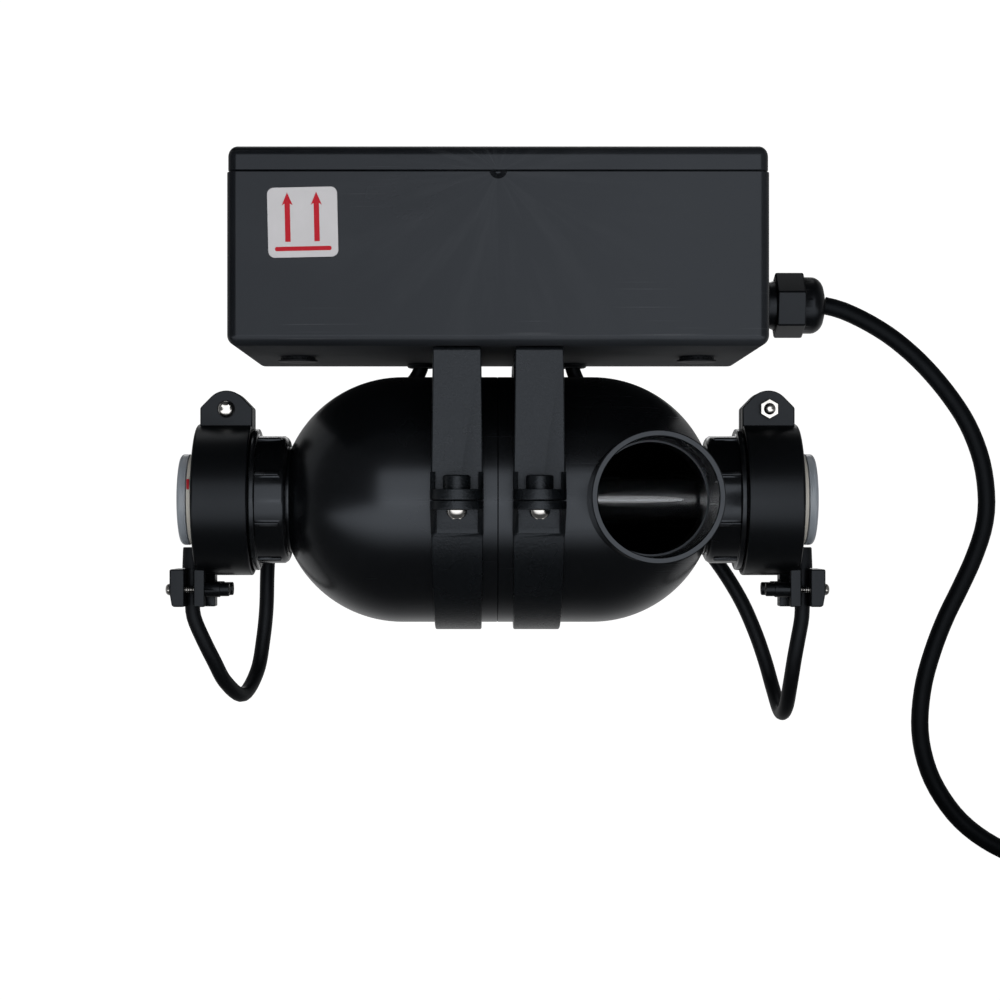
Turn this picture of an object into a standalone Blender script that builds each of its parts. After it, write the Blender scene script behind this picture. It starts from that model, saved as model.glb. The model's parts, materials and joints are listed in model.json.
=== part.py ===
"""A pond UV clarifier: a ballast box carried by two strap clamps on a twin-dome UV chamber, with its leads.

Lengths in this file are millimetres, and MM turns them into metres as each mesh is made.
+X runs along the lamp, +Y to the back and +Z up. The origin is the middle of the chamber, on the lamp's axis.
The object repeats itself when turned half round about Z, so the right end's pieces also make the left end.
"""

import math

import bmesh
import bpy
from mathutils import Matrix, Vector

MM = 0.001
GAP = 0.3  # clearance between pieces that touch on the real object
SHARP_ANGLE = math.radians(35)
ENDS = (("right", 1), ("left", -1))

# Ballast box
BOX_LENGTH, BOX_DEPTH = 202, 120
BOX_FLOOR_Z, SEAM_Z, BOX_TOP_Z = 56.6, 121.3, 131
BOX_WALL, BOX_CORNER = 3, 4
POST_X, POST_Y, POST_R = 93.5, 52.5, 5
LID_SCREW_HEAD_Z = 126.6
PILOT_R = 2.1  # hole round a lid screw
BALLAST_SIZE, BALLAST_AT = (120, 40, 31), (-10, -31)
TERMINALS_SIZE, TERMINALS_AT = (48, 16, 17), (48, 28)
LABEL_SIDE, LABEL_AT, LABEL_TILT = 26, (-72.5, 102.2), math.radians(1.3)
PLUG_HOLE_X, PLUG_HOLE_R = 79, 6.5
GROMMET_X, GROMMET_Y, GROMMET_HOLE_R = 31, 42, 5

# Mains gland, an M20 one on the box's right side
GLAND_Z, GLAND_THREAD_R, GLAND_BODY_FLATS, GLAND_NUT_FLATS = 77, 9.8, 24, 22.8
GLAND_NUT_TURN = math.radians(11.5)
GLAND_TIP_X = 129.2

# UV chamber
CHAMBER_R, CHAMBER_WALL, DOME_X = 48.5, 3, 37.5
PORT_X, PORT_R, PORT_BORE_R, PORT_STOP_R, PORT_END_Y = 57.6, 24.15, 21.85, 21.2, 87
NECK_R, NECK_END_X, NECK_BORE_R = 20.9, 92, 12

# Lamp and sleeve, centred on the origin
SLEEVE_R, SLEEVE_WALL, SLEEVE_HALF = 11.5, 1.5, 100
LAMP_R, LAMP_WALL, LAMP_HALF = 8, 0.8, 93.7
PIN_Z, PIN_R = 2.4, 1.2

# End fittings
NUT_X0, NUT_X1, NUT_R, RIB_COUNT = 82.2, 94, 25.2, 8
FLANGE_X1, FLANGE_R, SPIGOT_R, SPIGOT_END_X = 96.4, 28, 26.5, 110
COVER_X0, COVER_X1, COVER_R, COVER_WALL_X = 96.7, 118.5, 30, 112
LUG_X, LUG_Z, LUG_HALF_Y, LUG_SIDE_Z, LUG_ARC_Z, LUG_ARC_R = 106.8, 35.5, 7, 36.1, 34.3, 8.6
RING_R, RING_X1, LENS_R, LENS_X1 = 18.3, 119.6, 18, 125.2
GRIP_TOP_Z, GRIP_FOOT_Z, GRIP_HALF_Y = -27.5, -42.3, 11
GRIP_SCREW_Y, GRIP_SCREW_Z = 7.5, -35.5
JAW_INNER_X, JAW_OUTER_X0, JAW_OUTER_X1 = 119.2, 122.9, 128.7
LEAD_X, LEAD_R, BOOT_R, LEAD_GAP = 121, 3, 4, 0.45

# Strap clamps
STRAP_X, STRAP_HALF_TOP, STRAP_HALF_JOINT = 15.35, 9, 9.9
STRAP_BORE_R, BAND_R = 48.8, 51.4
BRACKET_Y, BRACKET_TOP_Z = 58, 56.3
JOINT_Z, TAB_R, TAB_Y, STRAP_SCREW_Y = -1, 10, 62, 63
BRACKET_SCREW_R, WEB_THICKNESS = 1.6, 1.9

# Mains lead: the surface it lies on, and its coil of four layers, three turns wide
CABLE_R, SURFACE_Z = 3.5, -150
COIL_X, COIL_Y, COIL_OUTER_R, COIL_INNER_R, COIL_LAYERS = 275, 49, 52.5, 31.5, 4
PLUG_X, PLUG_Y0, PLUG_Y1 = 324, 116, 162

CABLE_ROUTE = [
    (129.6, 0, 77), (137, 0, 75), (147.5, 0, 70), (158, 0, 63.2), (169, 0, 53.4), (179.4, 0, 41.1),
    (187, 0, 29), (192.2, 0, 15), (194.1, 0, 0.5), (193, 0, -11), (189, 0, -23.2), (183.6, 0, -35.1),
    (177.8, 0, -47), (172.8, 0, -60), (169, 0, -74), (167.6, 0, -89), (169.3, 0, -101.8), (174, 0, -114),
    (183, 0, -126.6), (195, 0, -136), (209, 0, -142.3), (224, 0, -145.8), (236, 0, -146.5), (247, 0, -146.5),
]
LEFT_LEAD_ROUTE = [
    (-31, 42, 72), (-31, 42, 63), (-31, 42, 57), (-33, 42.3, 51.5), (-37.5, 43, 46.5), (-45, 44, 40.5),
    (-56, 44, 34.5),
    (-70, 43, 29), (-82, 41, 20), (-90, 39, 5), (-93.6, 38, -12), (-94.7, 37.5, -28), (-95.1, 37, -44),
    (-96.3, 36, -57), (-98.3, 31, -70), (-102.9, 19, -78.7), (-108.7, 8, -73), (-112.9, 3.2, -64),
    (-116.8, 0.8, -55.5), (-120.2, 0, -47.3), (-121, 0, -41.5), (-121, 0, -32), (-121, 0, -19.2),
]
RIGHT_LEAD_ROUTE = [
    (31, 42, 72), (31, 42, 63), (31, 42, 57), (32.6, 42.6, 51.5), (36.5, 44.8, 44.5), (42.5, 48, 36),
    (52.5, 51.5, 20),
    (68.5, 51, 2), (82.5, 47.5, -14), (92.7, 45, -27), (101.3, 44, -41), (107.1, 43.5, -54),
    (111.2, 42.5, -66), (114, 38, -77.5), (115.6, 26, -86.2), (116.3, 14, -83.5), (116.9, 5, -73.5),
    (118, 1.4, -63.5), (119.4, 0.3, -55), (120.7, 0, -47.5), (121, 0, -41.5), (121, 0, -32), (121, 0, -19.2),
]


# Shapes: each function returns a mesh, in metres


def mesh_of(bm):
    """The bmesh as a mesh whose faces all point out."""
    bmesh.ops.recalc_face_normals(bm, faces=bm.faces)
    mesh = bpy.data.meshes.new("shape")
    bm.to_mesh(mesh)
    bm.free()
    return mesh


def loft_into(bm, rings, closed=False):
    """Joins rings of points by strips of faces. A ring of one point is a pole. Open ends are capped."""
    rows = [[bm.verts.new(Vector(point) * MM) for point in ring] for ring in rings]
    pairs = list(zip(rows, rows[1:]))
    if closed:
        pairs.append((rows[-1], rows[0]))
    for low, high in pairs:
        count = max(len(low), len(high))
        for i in range(count):
            j = (i + 1) % count
            if len(low) == 1:
                bm.faces.new((low[0], high[j], high[i]))
            elif len(high) == 1:
                bm.faces.new((low[i], low[j], high[0]))
            else:
                bm.faces.new((low[i], low[j], high[j], high[i]))
    if not closed:
        for end in (rows[0], rows[-1]):
            if len(end) > 2:
                bm.faces.new(end)


def loft(rings, closed=False):
    bm = bmesh.new()
    loft_into(bm, rings, closed)
    return mesh_of(bm)


def along(axis, distance, across):
    """A point at this distance along the axis, with its other two coordinates in X, Y, Z order."""
    point = list(across)
    point.insert("XYZ".index(axis), distance)
    return tuple(point)


def turned(profile, axis="X", centre=(0, 0), segments=32):
    """A solid turned about an axis: profile holds (along, radius) points in order round its section."""
    rings = []
    for distance, radius in profile:
        count = segments if radius else 1
        angles = [math.tau * i / segments for i in range(count)]
        circle = [(centre[0] + radius * math.cos(a), centre[1] + radius * math.sin(a)) for a in angles]
        rings.append([along(axis, distance, point) for point in circle])
    return loft(rings, closed=bool(profile[0][1]))


def rod(axis, low, high, radius, centre=(0, 0), segments=16):
    profile = [(low, 0), (low, radius), (high, radius), (high, 0)]
    return turned(profile, axis, centre, segments)


def prism(outline, axis, low, high):
    return loft([[along(axis, distance, point) for point in outline] for distance in (low, high)])


def block(low, high):
    corners = [(low[0], low[1]), (high[0], low[1]), (high[0], high[1]), (low[0], high[1])]
    return prism(corners, "Z", low[2], high[2])


def arc(centre, radius, start, end, steps):
    """Points on a circle from one angle to another, in degrees, both ends included."""
    angles = [math.radians(start + (end - start) * i / steps) for i in range(steps + 1)]
    return [(centre[0] + radius * math.cos(a), centre[1] + radius * math.sin(a)) for a in angles]


def rounded_rectangle(width, depth, radius, centre=(0, 0), steps=3):
    x, y = width / 2 - radius, depth / 2 - radius
    points = []
    for sx, sy, start in ((1, 1, 0), (-1, 1, 90), (-1, -1, 180), (1, -1, 270)):
        points += arc((centre[0] + sx * x, centre[1] + sy * y), radius, start, start + 90, steps)
    return points


def hexagon(flats, centre, turn=0):
    radius = flats / math.sqrt(3)
    angles = [turn + math.radians(90 + 60 * i) for i in range(6)]
    return [(centre[0] + radius * math.cos(a), centre[1] + radius * math.sin(a)) for a in angles]


def together(*meshes):
    """Several separate shapes as one mesh, to cut or add at once."""
    bm = bmesh.new()
    for mesh in meshes:
        bm.from_mesh(mesh)
        bpy.data.meshes.remove(mesh)
    return mesh_of(bm)


def box_shell(layers):
    """The box's rounded outline lofted through (z, inset) layers."""
    rings = []
    for z, inset in layers:
        corner = max(BOX_CORNER - inset, 0.6)
        outline = rounded_rectangle(BOX_LENGTH - 2 * inset, BOX_DEPTH - 2 * inset, corner)
        rings.append([(x, y, z) for x, y in outline])
    return rings


def add_object(name, mesh, material, origin=(0, 0, 0), half_turn=False):
    """An object whose mesh, given in place, hangs from its own origin. half_turn puts it at the other end."""
    obj = bpy.data.objects.new(name, mesh)
    bpy.context.scene.collection.objects.link(obj)
    obj.location = Vector(origin) * MM
    if half_turn:
        obj.location = Vector((-origin[0], -origin[1], origin[2])) * MM
        obj.rotation_euler.z = math.pi
    if not mesh.materials:
        mesh.materials.append(material)
    return obj


def carved(mesh, steps=(), origin=(0, 0, 0)):
    """The mesh after each ("UNION" or "DIFFERENCE", other mesh) step, smoothed and hung from origin."""
    base = bpy.data.objects.new("base", mesh)
    bpy.context.scene.collection.objects.link(base)
    helpers = []
    for operation, other in steps:
        helper = bpy.data.objects.new("helper", other)
        bpy.context.scene.collection.objects.link(helper)
        helpers.append(helper)
        modifier = base.modifiers.new(operation, "BOOLEAN")
        modifier.operation = operation
        modifier.object = helper
    bpy.context.view_layer.update()
    evaluated = base.evaluated_get(bpy.context.evaluated_depsgraph_get())
    made = bpy.data.meshes.new_from_object(evaluated)
    for helper in (base, *helpers):
        spent = helper.data
        bpy.data.objects.remove(helper)
        bpy.data.meshes.remove(spent)
    made.transform(Matrix.Translation(Vector(origin) * -MM))
    made.shade_smooth()
    made.set_sharp_from_angle(angle=SHARP_ANGLE)
    return made


def add_solid(name, mesh, material, steps=(), origin=(0, 0, 0)):
    return add_object(name, carved(mesh, steps, origin), material, origin)


def add_pair(name, mesh, material, steps=(), origin=(0, 0, 0)):
    """The same piece at the right end and, turned half round about Z, at the left end."""
    made = carved(mesh, steps, origin)
    made.materials.append(material)
    return [add_object(f"{name}_{end}", made, material, origin, side < 0) for end, side in ENDS]


def material(name, colour, roughness, metallic=0.0, alpha=1.0):
    made = bpy.data.materials.new(name)
    made.use_nodes = True
    shader = made.node_tree.nodes["Principled BSDF"]
    shader.inputs["Base Color"].default_value = (*colour, 1)
    shader.inputs["Roughness"].default_value = roughness
    shader.inputs["Metallic"].default_value = metallic
    shader.inputs["Alpha"].default_value = alpha
    return made


def screw_mesh(axis, seat, points_up, radius, length, head_r, head_h, centre, segments=8):
    """A pan-head screw whose head sits on the seat and whose shank runs the other way for length."""
    way = 1 if points_up else -1
    profile = [
        (way * head_h, 0), (way * head_h, head_r * 0.6), (way * head_h * 0.55, head_r), (0, head_r),
        (0, radius), (-way * (length - 1), radius), (-way * length, radius * 0.4), (-way * length, 0),
    ]
    return turned([(seat + distance, r) for distance, r in profile], axis, centre, segments)


# Ballast box


def make_box_base(plastic):
    """The open-topped base, with its corner posts and the holes for all that goes through its walls."""
    outer = box_shell([(BOX_FLOOR_Z, 3), (BOX_FLOOR_Z + 0.9, 0.9), (BOX_FLOOR_Z + 3, 0), (SEAM_Z, 0)])
    hollow = box_shell([(BOX_FLOOR_Z + BOX_WALL, BOX_WALL), (SEAM_Z + 1, BOX_WALL)])
    corners = [(x, y) for x in (-POST_X, POST_X) for y in (-POST_Y, POST_Y)]
    posts = [rod("Z", BOX_FLOOR_Z + 2, SEAM_Z, POST_R, at, 12) for at in corners]
    holes = [rod("Z", SEAM_Z - 21, SEAM_Z + 1, PILOT_R, at, 10) for at in corners]
    for side in (-1, 1):
        floor_holes = (
            (PLUG_HOLE_R, (side * PLUG_HOLE_X, 0)),
            (GROMMET_HOLE_R, (side * GROMMET_X, GROMMET_Y)),
            (BRACKET_SCREW_R + 0.6, (side * STRAP_X, 0)),
        )
        holes += [rod("Z", BOX_FLOOR_Z - 1, BOX_FLOOR_Z + BOX_WALL + 1, r, at) for r, at in floor_holes]
    wall_x = BOX_LENGTH / 2
    holes.append(rod("X", wall_x - BOX_WALL - 1, wall_x + 1, GLAND_THREAD_R + 0.5, (0, GLAND_Z), 18))
    holes.append(block((-3, -BOX_DEPTH / 2 - 1, SEAM_Z - 2.2), (3, -BOX_DEPTH / 2 + 2, SEAM_Z + 1)))
    steps = [("DIFFERENCE", loft(hollow)), ("UNION", together(*posts)), ("DIFFERENCE", together(*holes))]
    return add_solid("box_base", loft(outer), plastic, steps)


def make_lid(plastic, rubber, steel):
    """The lid, its gasket in a groove and its four screws, all hung from one empty that lifts straight up."""
    underside = SEAM_Z + GAP
    outer = box_shell([(underside, 0.4), (BOX_TOP_Z - 3.5, 0.4), (BOX_TOP_Z - 0.9, 1.3), (BOX_TOP_Z, 3.4)])
    hollow = box_shell([(underside - 1, 3.4), (BOX_TOP_Z - BOX_WALL, 3.4)])
    groove = [*box_shell([(underside - 1, 1.1), (underside + 1.3, 1.1)]),
              *box_shell([(underside + 1.3, 2.7), (underside - 1, 2.7)])]
    corners = [(x, y) for x in (-POST_X, POST_X) for y in (-POST_Y, POST_Y)]
    bosses = [rod("Z", underside, BOX_TOP_Z - 2, POST_R, at, 12) for at in corners]
    holes = [rod("Z", underside - 1, BOX_TOP_Z + 1, PILOT_R, at, 10) for at in corners]
    recesses = [rod("Z", LID_SCREW_HEAD_Z - GAP, BOX_TOP_Z + 1, 4.1, at, 12) for at in corners]
    steps = [
        ("DIFFERENCE", loft(hollow)), ("UNION", together(*bosses)), ("DIFFERENCE", together(*recesses)),
        ("DIFFERENCE", together(*holes)), ("DIFFERENCE", loft(groove, closed=True)),
    ]
    pieces = [add_solid("box_lid", loft(outer), plastic, steps)]
    seal = box_shell([(underside, 1.4), (underside + 1, 1.4)])
    seal += box_shell([(underside + 1, 2.4), (underside, 2.4)])
    pieces.append(add_solid("lid_gasket", loft(seal, closed=True), rubber))
    for number, at in enumerate(corners, 1):
        shape = screw_mesh("Z", LID_SCREW_HEAD_Z, True, 1.8, 22, 3.7, 2.4, at)
        pieces.append(add_solid(f"lid_screw_{number}", shape, steel, origin=(*at, LID_SCREW_HEAD_Z)))
    return pieces


def make_box_contents(steel, plastic):
    size, (x, y), z = BALLAST_SIZE, BALLAST_AT, BOX_FLOOR_Z + BOX_WALL + GAP
    outline = rounded_rectangle(size[0], size[1], 2, (x, y), 2)
    add_solid("ballast", prism(outline, "Z", z, z + size[2]), steel)
    size, (x, y) = TERMINALS_SIZE, TERMINALS_AT
    low, high = (x - size[0] / 2, y - size[1] / 2, z), (x + size[0] / 2, y + size[1] / 2, z + size[2])
    pitch = size[0] / 4
    slots = []
    for i in (1, 2, 3):
        middle = low[0] + pitch * i
        slots.append(block((middle - 0.8, low[1] - 1, z + 9), (middle + 0.8, high[1] + 1, high[2] + 1)))
    add_solid("terminal_block", block(low, high), plastic, [("DIFFERENCE", together(*slots))])


def make_label(paper):
    """A square label on the front face, slightly askew."""
    front = -BOX_DEPTH / 2 - GAP
    shape = prism(rounded_rectangle(LABEL_SIDE, LABEL_SIDE, 2.5), "Y", -0.3, 0)
    label = add_solid("orientation_label", shape, paper)
    label.location = Vector((LABEL_AT[0], front, LABEL_AT[1])) * MM
    label.rotation_euler.y = -LABEL_TILT
    return label


def make_floor_fittings(rubber):
    """A blanking plug near each end of the floor, and a grommet for each lamp lead."""
    under, over = BOX_FLOOR_Z - GAP, BOX_FLOOR_Z + BOX_WALL + GAP
    plug = [(under - 1.8, 0), (under - 1.8, 7.4), (under - 1.4, 8), (under - 0.6, 8), (under, 7.4), (under, 6.2),
            (over, 6.2), (over, 0)]
    hole = LEAD_R + LEAD_GAP
    grommet = [(under - 1.4, hole + 1), (under - 1.4, 5.5), (under, 6.3), (under, 4.7), (over, 4.7), (over, 5.8),
               (over + 1.2, 5.2), (over + 1.2, hole), (under + 1, hole)]
    for end, side in ENDS:
        at = (side * PLUG_HOLE_X, 0)
        add_solid(f"blanking_plug_{end}", turned(plug, "Z", at, 14), rubber, origin=(*at, BOX_FLOOR_Z))
        at = (side * GROMMET_X, GROMMET_Y)
        add_solid(f"lead_grommet_{end}", turned(grommet, "Z", at, 12), rubber, origin=(*at, BOX_FLOOR_Z))


# Mains gland


def make_gland(plastic):
    """Body with its locknut inside the wall, and the dome nut that grips the cable."""
    centre, wall_x = (0, GLAND_Z), BOX_LENGTH / 2
    body = rod("X", wall_x - 13, wall_x + 15, GLAND_THREAD_R, centre, 18)
    flange = prism(hexagon(GLAND_BODY_FLATS, centre), "X", wall_x + GAP, wall_x + 5)
    bore = [(wall_x - 14, 0), (wall_x - 14, 4.6), (wall_x + 9, 4.6), (wall_x + 9, 7), (wall_x + 17, 7),
            (wall_x + 17, 0)]
    steps = [("UNION", flange), ("DIFFERENCE", turned(bore, "X", centre, 12))]
    add_solid("gland_body", body, plastic, steps, origin=(wall_x, *centre))
    inner_face = wall_x - BOX_WALL - GAP
    locknut = prism(hexagon(GLAND_BODY_FLATS, centre), "X", inner_face - 5, inner_face)
    thread = rod("X", inner_face - 6, inner_face + 1, GLAND_THREAD_R + GAP, centre, 18)
    add_solid("gland_locknut", locknut, plastic, [("DIFFERENCE", thread)], origin=(wall_x, *centre))
    return make_dome_nut(plastic, centre)


def make_dome_nut(plastic, centre):
    tip = GLAND_TIP_X
    dome = [(tip - 16, 0), (tip - 16, 11.2), (tip - 5, 11.2), (tip - 3, 10.6), (tip - 1.2, 9),
            (tip - 0.3, 6.8), (tip, 5), (tip, 0)]
    hexed = prism(hexagon(GLAND_NUT_FLATS, centre, GLAND_NUT_TURN), "X", tip - 19.4, tip - 8)
    hollow = [(tip - 20, 0), (tip - 20, 10.1), (tip - 12.4, 10.1), (tip - 9, 7.6), (tip - 6.6, 7),
              (tip - 5, 4.4), (tip + 1, 4.2), (tip + 1, 0)]
    steps = [("UNION", hexed), ("DIFFERENCE", turned(hollow, "X", centre, 16))]
    shape = turned(dome, "X", centre, 20)
    return add_solid("gland_dome_nut", shape, plastic, steps, origin=(tip - 14, *centre))


# UV chamber


def dome_profile(radius, start_x):
    """Half of the chamber's section: straight from the seam, then a quarter circle to the axis."""
    quarter = arc((DOME_X, 0), radius, 90, 0, 7)
    return [(start_x, 0), (start_x, radius), *quarter[:-1], (DOME_X + radius, 0)]


def make_chamber(plastic):
    """Each half has a dome, a threaded neck for the sleeve and one port, and meets the other at the seam."""
    port = rod("Y", -PORT_END_Y, -20, PORT_R, (PORT_X, 0), 32)
    neck = rod("X", 60, NECK_END_X, NECK_R, segments=24)
    port_bore = [(-PORT_END_Y - 1, 0), (-PORT_END_Y - 1, PORT_BORE_R), (-47, PORT_BORE_R), (-47, PORT_STOP_R),
                 (-18, PORT_STOP_R), (-18, 0)]
    steps = [
        ("UNION", port), ("UNION", neck),
        ("DIFFERENCE", turned(dome_profile(CHAMBER_R - CHAMBER_WALL, -1), segments=32)),
        ("DIFFERENCE", turned(port_bore, "Y", (PORT_X, 0), 32)),
        ("DIFFERENCE", rod("X", 60, NECK_END_X + 1, NECK_BORE_R, segments=20)),
    ]
    return add_pair("chamber", turned(dome_profile(CHAMBER_R, GAP / 2), segments=32), plastic, steps)


def make_lamp(quartz, glass, ceramic):
    """The open-ended quartz sleeve, the lamp tube in it and the tube's two-pin caps."""
    for name, radius, wall, half, finish in (
        ("quartz_sleeve", SLEEVE_R, SLEEVE_WALL, SLEEVE_HALF, quartz),
        ("lamp_tube", LAMP_R, LAMP_WALL, LAMP_HALF, glass),
    ):
        ring = [(-half, radius - wall), (-half, radius), (half, radius), (half, radius - wall)]
        add_solid(name, turned(ring, segments=16), finish)
    cap = rod("X", LAMP_HALF + GAP, LAMP_HALF + 9.7, LAMP_R + 0.5)
    pins = [rod("X", LAMP_HALF + 8, LAMP_HALF + 15.8, PIN_R, (0, z), 8) for z in (-PIN_Z, PIN_Z)]
    add_pair("lamp_cap", cap, ceramic, [("UNION", together(*pins))], origin=(LAMP_HALF, 0, 0))


# End fittings


def make_sleeve_fittings(plastic, rubber):
    """The ribbed nut that presses a seal round the quartz sleeve, with the spigot for the end cover."""
    profile = [
        (NUT_X0, NECK_R + GAP), (NUT_X0, NUT_R - 1.6), (NUT_X0 + 1.8, NUT_R), (NUT_X1, NUT_R),
        (NUT_X1, FLANGE_R - 0.6), (NUT_X1 + 0.5, FLANGE_R), (FLANGE_X1 - 0.5, FLANGE_R),
        (FLANGE_X1, FLANGE_R - 0.6), (FLANGE_X1, SPIGOT_R), (SPIGOT_END_X, SPIGOT_R), (SPIGOT_END_X, 20),
        (97.5, 20), (97.5, SLEEVE_R + 0.7),
        (95.6, SLEEVE_R + 0.7), (95.6, 16.1), (NECK_END_X + GAP, 16.1), (NECK_END_X + GAP, NECK_R + GAP),
    ]
    ribs = []
    for i in range(RIB_COUNT):
        rib = block((NUT_X0 + 2.6, -0.85, NUT_R - 1), (NUT_X1 + 0.3, 0.85, NUT_R + 0.9))
        rib.transform(Matrix.Rotation(math.tau * (i + 0.5) / RIB_COUNT, 4, "X"))
        ribs.append(rib)
    steps = [("UNION", together(*ribs))]
    nuts = add_pair("sleeve_nut", turned(profile, segments=28), plastic, steps, origin=(NUT_X1, 0, 0))
    section = arc((93.8, 13.8), 1.5, 0, 300, 5)
    add_pair("sleeve_seal", turned(section, segments=16), rubber, origin=(NECK_END_X, 0, 0))
    return nuts


def lug_outline():
    low, high = LUG_X - 10.3, LUG_X + 10.3
    return [(low, 27.6), (high, 27.6), (high, LUG_SIDE_Z), *arc((LUG_X, LUG_ARC_Z), LUG_ARC_R, 45, 135, 5),
            (low, LUG_SIDE_Z)]


def grip_groove(radius):
    return rod("Z", GRIP_FOOT_Z - 1, GRIP_TOP_Z + 3, radius, (LEAD_X, 0), 12)


def make_end_covers(plastic):
    """A cap that clamps on the spigot: a slit lug on top, and the inner jaw of the cord grip below."""
    x0, x1, wall_x, radius = COVER_X0, COVER_X1, COVER_WALL_X, COVER_R
    inner = SPIGOT_R + GAP
    profile = [(x0, inner), (x0, radius - 0.6), (x0 + 0.6, radius), (x1 - 0.9, radius), (x1, radius - 0.9),
               (x1, RING_R), (RING_X1, RING_R), (RING_X1, 15.3), (wall_x, 15.3), (wall_x, inner)]
    slit = [(x0 - 1, 25), (wall_x, 25), (wall_x, radius + 0.6), (x1, radius + 0.6), (x1, 45), (x0 - 1, 45)]
    sides = (-GRIP_SCREW_Y, GRIP_SCREW_Y)
    bosses = [rod("X", 109, 116, 3, (y, GRIP_SCREW_Z), 12) for y in sides]
    tips = [rod("X", 105.5, 110, 2.65, (y, GRIP_SCREW_Z), 12) for y in sides]
    holes = [rod("X", 106.5, 122, 1.7, (y, GRIP_SCREW_Z), 8) for y in sides]
    holes.append(rod("Y", -LUG_HALF_Y - 1, LUG_HALF_Y + 1, 2.3, (LUG_X, LUG_Z), 12))
    steps = [
        ("UNION", prism(lug_outline(), "Y", -LUG_HALF_Y, LUG_HALF_Y)),
        ("UNION", block((114.9, -GRIP_HALF_Y, GRIP_FOOT_Z), (JAW_INNER_X, GRIP_HALF_Y, GRIP_TOP_Z))),
        ("UNION", block((111.5, -4, GRIP_FOOT_Z), (115.5, 4, GRIP_TOP_Z))),
        ("UNION", together(*bosses)), ("UNION", together(*tips)),
        ("DIFFERENCE", prism(slit, "Y", -1, 1)), ("DIFFERENCE", together(*holes)),
        ("DIFFERENCE", grip_groove(LEAD_R + LEAD_GAP)),
        ("DIFFERENCE", rod("Z", GRIP_TOP_Z, -RING_R - GAP, BOOT_R + GAP, (LEAD_X, 0), 12)),
    ]
    return add_pair("end_cover", turned(profile, segments=32), plastic, steps, origin=(COVER_X0, 0, 0))


def make_cover_fastening(steel):
    """The screw and nut that close the lug's slit."""
    seat = LUG_HALF_Y + GAP
    screw = screw_mesh("Y", seat, True, 2, 2 * seat + 4.6, 3.5, 2.4, (LUG_X, LUG_Z), 10)
    screws = add_pair("cover_screw", screw, steel, origin=(LUG_X, 0, LUG_Z))
    nut = prism(hexagon(7, (LUG_X, LUG_Z)), "Y", -seat - 3.2, -seat)
    thread = rod("Y", -seat - 4, -seat + 1, 2.3, (LUG_X, LUG_Z), 12)
    return screws + add_pair("cover_nut", nut, steel, [("DIFFERENCE", thread)], origin=(LUG_X, 0, LUG_Z))


def make_lamp_ends(plastic, clear, rubber):
    """The socket that holds the lamp's pins, the clear lens over it, and the boot where the lead goes in."""
    socket = [(103.8, 0), (103.8, 12), (109, 12), (109, 19.4), (111.7, 19.4), (111.7, 13), (115, 13), (115, 0)]
    holes = [rod("X", 103, 110.4, PIN_R + 0.4, (0, z), 8) for z in (-PIN_Z, PIN_Z)]
    steps = [("DIFFERENCE", together(*holes))]
    shape = turned(socket, segments=16)
    sockets = add_pair("lamp_socket", shape, plastic, steps, origin=(COVER_WALL_X, 0, 0))
    seat, rim = RING_X1 + GAP, LENS_X1
    lens = [(rim - 1.4, 0), (rim - 1.4, 13.6), (118.5, 13.6), (118.5, 15), (seat, 15), (seat, LENS_R),
            (rim - 1.5, LENS_R), (rim - 0.4, LENS_R - 0.9), (rim, LENS_R - 2.6), (rim, 0)]
    lenses = add_pair("end_lens", turned(lens, segments=24), clear, origin=(COVER_X1, 0, 0))
    bore = LEAD_R + GAP
    low, high = GRIP_TOP_Z + GAP, -RING_R - 2 * GAP
    boot = [(low, bore), (low, BOOT_R), (high, BOOT_R - 0.2), (high, bore)]
    boots = add_pair("lead_boot", turned(boot, "Z", (LEAD_X, 0), 12), rubber, origin=(LEAD_X, 0, GRIP_TOP_Z))
    return sockets + lenses + boots


def make_grips(plastic, steel):
    """The outer jaw of each cord grip and the two screws that pull it against the inner jaw."""
    inner_x, outer_x = JAW_OUTER_X0, JAW_OUTER_X1
    outline = [(inner_x, GRIP_FOOT_Z), (outer_x - 1.4, GRIP_FOOT_Z), (outer_x - 0.8, GRIP_FOOT_Z + 0.8),
               (outer_x, GRIP_FOOT_Z + 5.5), (outer_x, GRIP_TOP_Z), (inner_x, GRIP_TOP_Z)]
    sides = (("front", -GRIP_SCREW_Y), ("rear", GRIP_SCREW_Y))
    holes = [rod("X", inner_x - 1, outer_x + 1, 1.9, (y, GRIP_SCREW_Z), 8) for _, y in sides]
    steps = [("DIFFERENCE", together(*holes)), ("DIFFERENCE", grip_groove(LEAD_R + LEAD_GAP))]
    pieces = add_pair("grip_jaw", prism(outline, "Y", -GRIP_HALF_Y, GRIP_HALF_Y), plastic, steps,
                      origin=(inner_x, 0, GRIP_SCREW_Z))
    for place, y in sides:
        shape = screw_mesh("X", outer_x + GAP, True, 1.4, 21, 2.3, 1.6, (y, GRIP_SCREW_Z))
        pieces += add_pair(f"grip_screw_{place}", shape, steel, origin=(outer_x, y, GRIP_SCREW_Z))
    return pieces


# Strap clamps


def widened(mesh, centre_x):
    """A strap grows wider from the box down to its joint, and narrower again below it."""
    fall = BRACKET_TOP_Z - JOINT_Z
    for vertex in mesh.vertices:
        share = 1 - min(abs(vertex.co.z / MM - JOINT_Z) / fall, 1)
        half = STRAP_HALF_TOP + (STRAP_HALF_JOINT - STRAP_HALF_TOP) * share
        vertex.co.x = centre_x * MM + (vertex.co.x - centre_x * MM) * half / STRAP_HALF_TOP
    return mesh


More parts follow.
